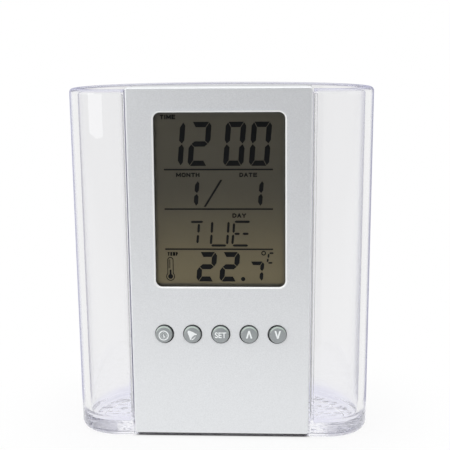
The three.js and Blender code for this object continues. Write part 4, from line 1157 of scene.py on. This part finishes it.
shell_rings = [(clock_outline(clock_floor, panel_top, 0, shell_corner), panel_back)]
shell_rings += [
    (clock_outline(clock_floor, panel_top, shell_edge - reach, shell_corner - shell_edge + reach),
     shell_back - shell_edge + rise)
    for reach, rise in arc(0, 0, shell_edge, shell_edge, 0, 90, 6)
]
shell = upright("grey_shell", shell_rings)
grooves = []
for side in (-1, 1):
    strip_outline = [(side * (clock_half_width(z) + spread), z) for z, spread in (
        (0, -1.5), (0, 1), (panel_top + 1, 1), (panel_top + 1, -1.5))]
    grooves.append(upright("groove", [(strip_outline, panel_back - 1), (strip_outline, groove_back)]))
worked(shell, grooves + [
    upright("front hollow", [
        (clock_outline(clock_floor + shell_wall - behind_groove, panel_top - shell_wall + behind_groove,
                       behind_groove, shell_corner), depth) for depth in (panel_back - 1, groove_back + 1.5)]),
    upright("back hollow", [
        (clock_outline(clock_floor, panel_top, shell_wall, shell_corner), depth)
        for depth in (groove_back, shell_inner)]),
])
inner_parts = [
    block("bay", -bay_half - 1, bay_half + 1, panel_back, door_front - 0.1, clock_floor + 0.02, bay_top + 1),
    block("bay front", -bay_half - 0.9, bay_half + 0.9, bay_front - 1, panel_back + 1, bay_bottom - 1, bay_top + 1),
]
inner_parts += [rod(x, z, post_radius, boss_top + 0.1, shell_inner + 0.7) for x, z in case_screws]
worked(shell, inner_parts, "UNION")
seat_ring = rod(0, sounder_z, sounder_radius, shell_inner - 1.2, shell_inner + 0.7, 96)
worked(seat_ring, [rod(0, sounder_z, sounder_radius - 1.4, shell_inner - 2, shell_inner + 2, 96)])
worked(shell, [seat_ring], "UNION")
door_seat = block(
    "door seat", -bay_half - door_lap - door_gap, bay_half + door_lap + door_gap, door_front - 0.1, shell_back + 1,
    bay_bottom - door_lap - door_gap, bay_top + door_lap + door_gap)
shell_cuts = [
    block("cell bay", -bay_half, bay_half, bay_front, shell_back + 1, bay_bottom, bay_top), door_seat,
]
shell_cuts += [block("hook pocket", middle - hook_room, middle + hook_room, 12.4, door_front, 5.0, bay_bottom + 1)
               for middle in (-hook_middle, hook_middle)]
web_back = boss_top + 0.1 + 2.6
shell_cuts += [rod(x, z, screw_way, boss_top - 1, web_back + 1) for x, z in case_screws]
sink = [(sink_radius, web_back), (sink_radius, shell_back - 0.25), (sink_mouth, shell_back + 0.05),
        (sink_mouth, shell_back + 1)]
shell_cuts += [turned("screw bore", x, z, sink, 48) for x, z in case_screws]
worked(shell, shell_cuts + [punches])
eased(shell, 0.12)
finished(polished(shell), "clock", ["rear_shell"], "shell_plastic", shell_grey)

# The screws. Zinc-plated self-tapping screws with flat round heads and a cross recess. Four draw the
# rear shell onto the panel, and two shorter ones hold the board on its posts.
head_radius, head_height = 1.75, 1.3
shank_radius = 0.6
thread_reach = 0.13
thread_pitch = 0.62
cross_reach, cross_half, cross_depth = 0.95, 0.17, 0.75


def swept(tree, path, section):
    """A bar with closed ends, along a path."""
    return node(tree, "GeometryNodeCurveToMesh", {"Curve": path, "Profile Curve": section, "Fill Caps": True})


def screw_head(head_front):
    """A screw head with its cross recess, its front face against what it holds."""
    back = head_front + head_height
    head = turned("head", 0, 0, [
        (0, head_front), (head_radius - 0.05, head_front), (head_radius, head_front + 0.08),
        (head_radius, back - 0.4), (head_radius - 0.1, back - 0.18), (head_radius - 0.32, back - 0.04),
        (head_radius - 0.6, back), (0, back)], 48)
    arms = []
    for across, rise in ((cross_reach, cross_half), (cross_half, cross_reach)):
        wide = [(-across, -rise), (across, -rise), (across, rise), (-across, rise)]
        narrow = [(0.45 * x, 0.45 * z) for x, z in wide]
        arms.append(upright("arm", [(narrow, back - cross_depth), (wide, back + 0.1)]))
    return worked(head, arms)


screw_tree, given = growing("screws", {
    "Head": "Object", "Places": "Object", "Shank": "Float", "Length": "Float", "Thread": "Float", "Turns": "Float",
    "Tip": "Vector", "Middle": "Vector", "Finish": "Material",
})
head_shape = node(screw_tree, "GeometryNodeObjectInfo", {"Object": given["Head"]}).outputs["Geometry"]
shank = node(screw_tree, "GeometryNodeMeshCylinder", {
    "Vertices": 24, "Radius": given["Shank"], "Depth": given["Length"]})
shank = moved(screw_tree, shank, given["Middle"], quarter_turn)
helix = node(screw_tree, "GeometryNodeCurveSpiral", {
    "Resolution": 20, "Rotations": given["Turns"], "Start Radius": given["Shank"], "End Radius": given["Shank"],
    "Height": given["Length"]})
crest = node(screw_tree, "GeometryNodeCurvePrimitiveCircle", {"Resolution": 3, "Radius": given["Thread"]})
thread = moved(screw_tree, swept(screw_tree, helix, crest), given["Tip"], (-math.pi / 2, 0, 0))
one_screw = joined(screw_tree, thread, shank, head_shape)
spots = node(screw_tree, "GeometryNodeObjectInfo", {"Object": given["Places"]}).outputs["Geometry"]
completed(screw_tree, given, set_out(screw_tree, spots, one_screw))


def screw_set(name, places, head_front, tip, nodes):
    """The screws at these places, with their tips at this depth."""
    head = screw_head(head_front)
    spots = bmesh.new()
    for x, z in places:
        spots.verts.new(Vector((x, 0, z)) * mm)
    spots = as_piece("places", spots)
    length = head_front - tip
    made = grown(name, screw_tree, {
        "Head": head, "Places": spots, "Shank": shank_radius * mm, "Length": length * mm,
        "Thread": thread_reach * mm, "Turns": (length - 0.4) / thread_pitch, "Tip": (0, deep(tip + 0.1) * mm, 0),
        "Middle": (0, deep((tip + head_front) / 2) * mm, 0), "Finish": nickel,
    })
    for used in (head, spots):
        bpy.data.objects.remove(used)
    return finished(polished(made), "clock", nodes, "plated_steel", nickel)


screw_set("case_screw_set", case_screws, web_back, 3.8, [f"case_screw_{number}" for number in range(1, 5)])
screw_set("board_screw_set", board_screws, board_back, board_back - 4.4, ["board_screw_1", "board_screw_2"])

# The sounder. A thin brass disc with a smaller disc of piezo ceramic on it, silvered on its face and
# glued to the ring inside the rear shell, behind the sound holes.
brass = plain_recipe("rolled brass", (0.62, 0.44, 0.17, 1), (0.72, 0.53, 0.24, 1), 0.24, 0.4, 0.3, 0.0012, 1.0)
ceramic = plain_recipe(
    "silvered ceramic", (0.66, 0.65, 0.6, 1), (0.76, 0.75, 0.71, 1), 0.36, 0.52, 0.15, 0.002, 0.8)
plate_back = shell_inner - 1.2
sounder_disc = turned("disc", 0, sounder_z, [(radius, plate_back - reach) for radius, reach in (
    (0, 0), (9.5, 0), (9.53, 0.06), (9.53, 0.24), (9.5, 0.3), (7.0, 0.3), (7.0, 0.56), (6.94, 0.6), (0, 0.6))], 96)
for face in sounder_disc.data.polygons:
    face.material_index = 1 if face.center.y / mm - face_y < plate_back - 0.35 else 0
polished(sounder_disc)
sounder_disc.name = "sounder_disc"
finished(sounder_disc, "clock", ["sounder"], "brass", brass, ceramic)

# The cells. Two AAA dry cells that lie across the clock, one each way round: a steel can in a plain
# printed jacket, crimped in at both ends, with a nub at one end and a flat foot at the other.
cell_radius = 5.25
cell_depth = 8.6
cell_span = 44.5
cell_end = 24.2
cell_heights = {"battery_lower": (12.3, 1), "battery_upper": (23.0, -1)}
nub_end = [(0, 0), (1.75, 0), (1.9, 0.15), (1.9, 0.8), (2.3, 0.86), (3.9, 0.86), (4.1, 0.8), (4.6, 0.8),
           (4.95, 0.9), (5.18, 1.15), (cell_radius, 1.4)]
foot_end = [(cell_radius, 0.5), (5.16, 0.2), (4.9, 0.04), (4.6, 0), (4.3, 0.1), (3.3, 0.16), (0, 0.16)]
cell_profile = [(radius, cell_end - reach) for radius, reach in nub_end]
cell_profile += [(radius, cell_end - cell_span + reach) for radius, reach in foot_end]

jacket, tree, place = recipe("printed cell jacket")
grain = noise(tree, place, 0.5, 3.0)
from_middle = unsigned(tree, axes_of(tree, place)["X"])
band = node(tree, "ShaderNodeMapRange", {
    "Value": from_middle, "From Min": 13.4 * mm, "From Max": 13.6 * mm})
surfaced(tree, {
    "Base Color": mixed(tree, band, seen(62, 66, 70), mixed(tree, grain, seen(176, 178, 180), seen(190, 192, 194))),
    "Metallic": 0.6,
    "Roughness": ranged(tree, grain, 0.22, 0.34),
    "Normal": relief(tree, grain, 0.002),
    "Coat Weight": 0.5,
    "Coat Roughness": 0.08,
})

for name, (z, side) in cell_heights.items():
    cell = cross_turned("cell", z, cell_depth, [(radius, side * x) for radius, x in cell_profile], 96)
    for face in cell.data.polygons:
        away = math.hypot(face.center.y / mm - deep(cell_depth), face.center.z / mm - z)
        face.material_index = 0 if away > 4.7 else 1
    polished(cell, 45)
    cell.name = name.replace("battery", "cell")
    finished(cell, "clock", [name], "battery_jacket", jacket, nickel)

# The contacts and their springs. Nickel-plated spring steel plates slid into the ends of the bay: a
# bridge across both cells at one end, and a plus and a minus plate at the other. A wound spring stands
# on the bridge and on the minus plate, and presses on the flat foot of its cell.
spring_turns = 3
spring_wide, spring_narrow = 3.1, 1.9
spring_start, spring_end = 23.85, 20.75
spring_wire = 0.3


def softened(name, node_name, width):
    """A finer copy of a solid, with its edges rounded a little."""
    made = bmesh.new()
    made.from_mesh(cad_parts[node_name].data)
    bmesh.ops.remove_doubles(made, verts=made.verts, dist=1e-6)
    bmesh.ops.dissolve_limit(made, angle_limit=math.radians(1), verts=made.verts, edges=made.edges)
    piece = as_piece(name, made)
    eased(piece, width)
    return polished(piece)


for name in ("contact_bridge", "contact_plus", "contact_minus"):
    plate = softened(name.replace("contact", "contact_plate"), name, 0.12)
    finished(plate, "clock", [name], "plated_steel", nickel)

spring_tree, given = growing("battery spring", {
    "Turns": "Float", "Wide": "Float", "Narrow": "Float", "Length": "Float", "Wire": "Float", "Start": "Vector",
    "Turn": "Vector", "Finish": "Material",
})
coil = node(spring_tree, "GeometryNodeCurveSpiral", {
    "Resolution": 40, "Rotations": given["Turns"], "Start Radius": given["Wide"], "End Radius": given["Narrow"],
    "Height": given["Length"]})
wide_end = node(spring_tree, "GeometryNodeCurvePrimitiveCircle", {"Resolution": 40, "Radius": given["Wide"]})
narrow_end = node(spring_tree, "GeometryNodeCurvePrimitiveCircle", {"Resolution": 40, "Radius": given["Narrow"]})
rise = node(spring_tree, "ShaderNodeCombineXYZ", {"Z": given["Length"]})
narrow_end = moved(spring_tree, narrow_end, rise)
wire = node(spring_tree, "GeometryNodeCurvePrimitiveCircle", {"Resolution": 14, "Radius": given["Wire"]})
completed(spring_tree, given, joined(spring_tree, *(
    moved(spring_tree, swept(spring_tree, path, wire), given["Start"], given["Turn"])
    for path in (coil, wide_end, narrow_end))))
for name, (z, side) in cell_heights.items():
    spring = grown(name.replace("battery", "coil_spring"), spring_tree, {
        "Turns": spring_turns, "Wide": spring_wide * mm, "Narrow": spring_narrow * mm,
        "Length": (spring_start - spring_end) * mm, "Wire": spring_wire * mm,
        "Start": (-side * spring_start * mm, deep(cell_depth) * mm, z * mm), "Turn": (0, side * math.pi / 2, 0),
        "Finish": nickel,
    })
    finished(polished(spring, 60), "clock", [name.replace("battery", "spring")], "plated_steel", nickel)

# The battery door. A flat ABS cover in the same finish as the shell. Two hooks at its lower edge reach
# under the shell, and a springy tongue between two slots clips it shut, with a ribbed place for a finger.
door_half = bay_half + door_lap
door_bottom, door_top = bay_bottom - door_lap, bay_top + door_lap
tongue_half, tongue_slot, tongue_length = 6.0, 0.8, 6.0
grip_half, grip_height, grip_depth = 4.5, 3.2, 0.6
rib_count, rib_pitch, rib_radius = 3, 0.8, 0.3


def bar_across(name, section, left, right):
    """A bar across the clock. Its section gives depth and height."""
    return solid(name, [[(x, deep(depth), z) for depth, z in section] for x in (left, right)])


door_corner = 0.6
door_x = door_half - door_corner
door_outline = rounded(door_x, door_x, door_bottom + door_corner, door_top - door_corner, door_corner, 6)
door = upright("bay_cover", [(door_outline, door_front), (door_outline, shell_back)])
hook_section = [(13.0, door_bottom - 0.6), (14.0, door_bottom - 0.6), (14.0, door_bottom),
                (14.75, door_bottom + 0.5), (14.75, door_bottom + 1.0), (13.0, door_bottom + 1.0)]
worked(door, [bar_across("hook", hook_section, middle - hook_half, middle + hook_half)
              for middle in (-hook_middle, hook_middle)], "UNION")
grip_middle = door_top - tongue_length / 2
door_cuts = []
for side in (-1, 1):
    x = side * (tongue_half + tongue_slot / 2)
    door_cuts.append(block("tongue slot", x - tongue_slot / 2, x + tongue_slot / 2, door_front - 1, shell_back + 1,
                           door_top - tongue_length, door_top + 1))
door_cuts.append(block("grip", -grip_half, grip_half, shell_back - grip_depth, shell_back + 1,
                       grip_middle - grip_height / 2, grip_middle + grip_height / 2))
worked(door, door_cuts)

rib_tree, given = growing("grip ribs", {
    "Ribs": "Int", "Pitch": "Float", "First": "Vector", "Length": "Float", "Width": "Float", "Finish": "Material"})
rib_section = node(rib_tree, "GeometryNodeCurvePrimitiveCircle", {"Resolution": 16, "Radius": given["Width"]})
rib_half = node(rib_tree, "ShaderNodeMath", {0: given["Length"], 1: 2.0}, operation="DIVIDE")
rib_minus = node(rib_tree, "ShaderNodeMath", {0: rib_half, 1: -1.0}, operation="MULTIPLY")
rib_line = node(rib_tree, "GeometryNodeCurvePrimitiveLine", {
    "Start": node(rib_tree, "ShaderNodeCombineXYZ", {"X": rib_minus}),
    "End": node(rib_tree, "ShaderNodeCombineXYZ", {"X": rib_half})})
one_rib = swept(rib_tree, rib_line, rib_section)
rib_row = node(rib_tree, "GeometryNodeMeshLine", {
    "Count": given["Ribs"], "Start Location": given["First"],
    "Offset": node(rib_tree, "ShaderNodeCombineXYZ", {"Z": given["Pitch"]})})
completed(rib_tree, given, set_out(rib_tree, rib_row, one_rib))
rib_set = grown("ribs", rib_tree, {
    "Ribs": rib_count, "Pitch": rib_pitch * mm,
    "First": (0, deep(shell_back - grip_depth + 0.08) * mm, (grip_middle - rib_pitch) * mm),
    "Length": (2 * grip_half - 0.02) * mm, "Width": rib_radius * mm, "Finish": shell_grey,
})
eased(door, 0.12)
worked(door, [rib_set], "UNION")
finished(polished(door), "door", ["battery_door"], "shell_plastic", shell_grey)

# The floor and the backdrop. A plain white sheet that the clock stands on, seen white all round it,
# with a painted shadow: a dark strip under the clock. It darkens towards the front, where the room is.
floor_reach = 6.0
floor_mesh = bmesh.new()
bmesh.ops.create_grid(floor_mesh, x_segments=8, y_segments=8, size=floor_reach)
bmesh.ops.translate(floor_mesh, verts=floor_mesh.verts, vec=(0, 0, -0.0002))
floor = as_piece("floor", floor_mesh)
paper, tree, place = recipe("white paper sheet")
axes = axes_of(tree, place)
grain = noise(tree, place, 6, 3.0)
sheet_tone = mixed(tree, grain, (0.86, 0.86, 0.865, 1), (0.89, 0.89, 0.893, 1))
to_room = smooth_step(tree, axes["Y"], -0.3, -1.6)
sheet_tone = mixed(tree, to_room, sheet_tone, (0.30, 0.30, 0.31, 1))
# The strip under the clock, outside these masks, gets the painted shadow tone.
beside = smooth_step(tree, unsigned(tree, axes["X"]), 26 * mm, 29.5 * mm)
before = smooth_step(tree, axes["Y"], -20.4 * mm, -21.8 * mm)
behind = smooth_step(tree, axes["Y"], -18 * mm, -13 * mm)
open_floor = sum_of(tree, beside, sum_of(tree, before, behind, "MAXIMUM"), "MAXIMUM")
sheet_tone = mixed(tree, open_floor, painted_shadow_tone, sheet_tone)
sheet = node(tree, "ShaderNodeBsdfDiffuse", {"Color": sheet_tone})
path = node(tree, "ShaderNodeLightPath").outputs
reach = node(tree, "ShaderNodeVectorMath", {0: place}, operation="LENGTH").outputs["Value"]
# Painted tint: rays through glass see the floor lavender near the cup, which tints the cup's base. Reflections see
# the floor brighter than white nearby and darker towards the front.
through_tone = mixed(tree, smooth_step(tree, reach, 0.035, 0.06), (0.78, 0.78, 0.88, 1), (0.872, 0.872, 0.868, 1))
nearby = smooth_step(tree, axes["Y"], -0.5, -0.05)
glow_tone = mixed(tree, nearby, (0.44, 0.44, 0.45, 1), (1.08, 1.08, 1.08, 1))
glow_tone = mixed(tree, path["Is Glossy Ray"], (1, 1, 1, 1), glow_tone)
glow_tone = mixed(tree, path["Is Transmission Ray"], glow_tone, through_tone)
glow = node(tree, "ShaderNodeEmission", {"Color": glow_tone, "Strength": 1.0})
far = smooth_step(tree, reach, 0.035, 0.09, 0.86)
looking = sum_of(tree, sum_of(tree, path["Is Camera Ray"], far), path["Is Transmission Ray"], "MAXIMUM")
looking = sum_of(tree, looking, path["Is Glossy Ray"], "MAXIMUM")
share = sum_of(tree, looking, open_floor)
paper_shader = node(tree, "ShaderNodeMixShader", {0: share, 1: sheet, 2: glow})
node(tree, "ShaderNodeOutputMaterial", {"Surface": paper_shader})
floor.data.materials.append(paper)

# The light. A wide soft panel overhead, two softer ones at the sides, a weak one by the camera, and an even
# sky that is white behind and dims towards the room in front. Rays through glass see painted glints and a
# painted violet tint in it instead.


def soft_panel(name, place, target, width, height, strength):
    lamp = bpy.data.objects.new(name, bpy.data.lights.new(name, "AREA"))
    lamp.data.shape = "RECTANGLE"
    lamp.data.size, lamp.data.size_y = width, height
    lamp.data.energy = strength
    lamp.visible_transmission = False
    lamp.matrix_world = (Matrix.Translation(place)
                         @ (Vector(place) - Vector(target)).to_track_quat("Z", "Y").to_matrix().to_4x4())
    scene.collection.objects.link(lamp)


soft_panel("overhead", (0.0, -0.25, 1.1), (0, 0, 0.05), 2.2, 1.6, 8.8)
soft_panel("left", (-1.2, -0.5, 0.6), (0, 0, 0.05), 1.5, 1.2, 3.4)
soft_panel("right", (1.2, -0.5, 0.4), (0, 0, 0.03), 1.4, 0.8, 1.35)
soft_panel("front", (-0.42, -0.55, 0.14), (0, 0, 0.03), 0.5, 0.22, 0.55)

world = bpy.data.worlds.new("studio")
scene.world = world
world.use_nodes = True
tree = world.node_tree
tree.nodes.clear()
direction = node(tree, "ShaderNodeTexCoord").outputs["Generated"]
ways = axes_of(tree, direction)
from_room = smooth_step(tree, ways["Y"], -0.85, -0.1)
to_right = smooth_step(tree, ways["X"], -0.3, 0.2)
room = mixed(tree, to_right, (0.24, 0.24, 0.25, 1), (0.02, 0.02, 0.03, 1))
room = mixed(tree, from_room, room, (0.98, 0.98, 0.985, 1))
path = node(tree, "ShaderNodeLightPath").outputs
lit = mixed(tree, path["Is Diffuse Ray"], room, (0.52, 0.52, 0.525, 1))
# Painted glints: rays through glass see a noise of two tones towards the front, up to brighter than white, and a
# violet tint to the sides. These stand in for the sparkle and tint of the clear cup.
glints = smooth_step(tree, noise(tree, direction, 110, 2.0, (1, 1, 2)), 0.42, 0.58)
glinting = mixed(tree, glints, (0.90, 0.90, 1.05, 1), (1.30, 1.30, 1.30, 1))
clear_back = mixed(tree, from_room, glinting, (0.96, 0.96, 0.97, 1))
flagged = smooth_step(tree, unsigned(tree, ways["X"]), 0.6, 0.97)
clear_back = mixed(tree, flagged, clear_back, (0.92, 0.92, 0.99, 1))
lit = mixed(tree, path["Is Transmission Ray"], lit, clear_back)
shown_sky = mixed(tree, path["Is Camera Ray"], lit, (1, 1, 1, 1))
sky = node(tree, "ShaderNodeBackground", {"Color": shown_sky, "Strength": 1.0})
node(tree, "ShaderNodeOutputWorld", {"Surface": sky})
scene.view_settings.view_transform = "Standard"
scene.cycles.max_bounces, scene.cycles.glossy_bounces, scene.cycles.transmission_bounces = 100, 100, 100
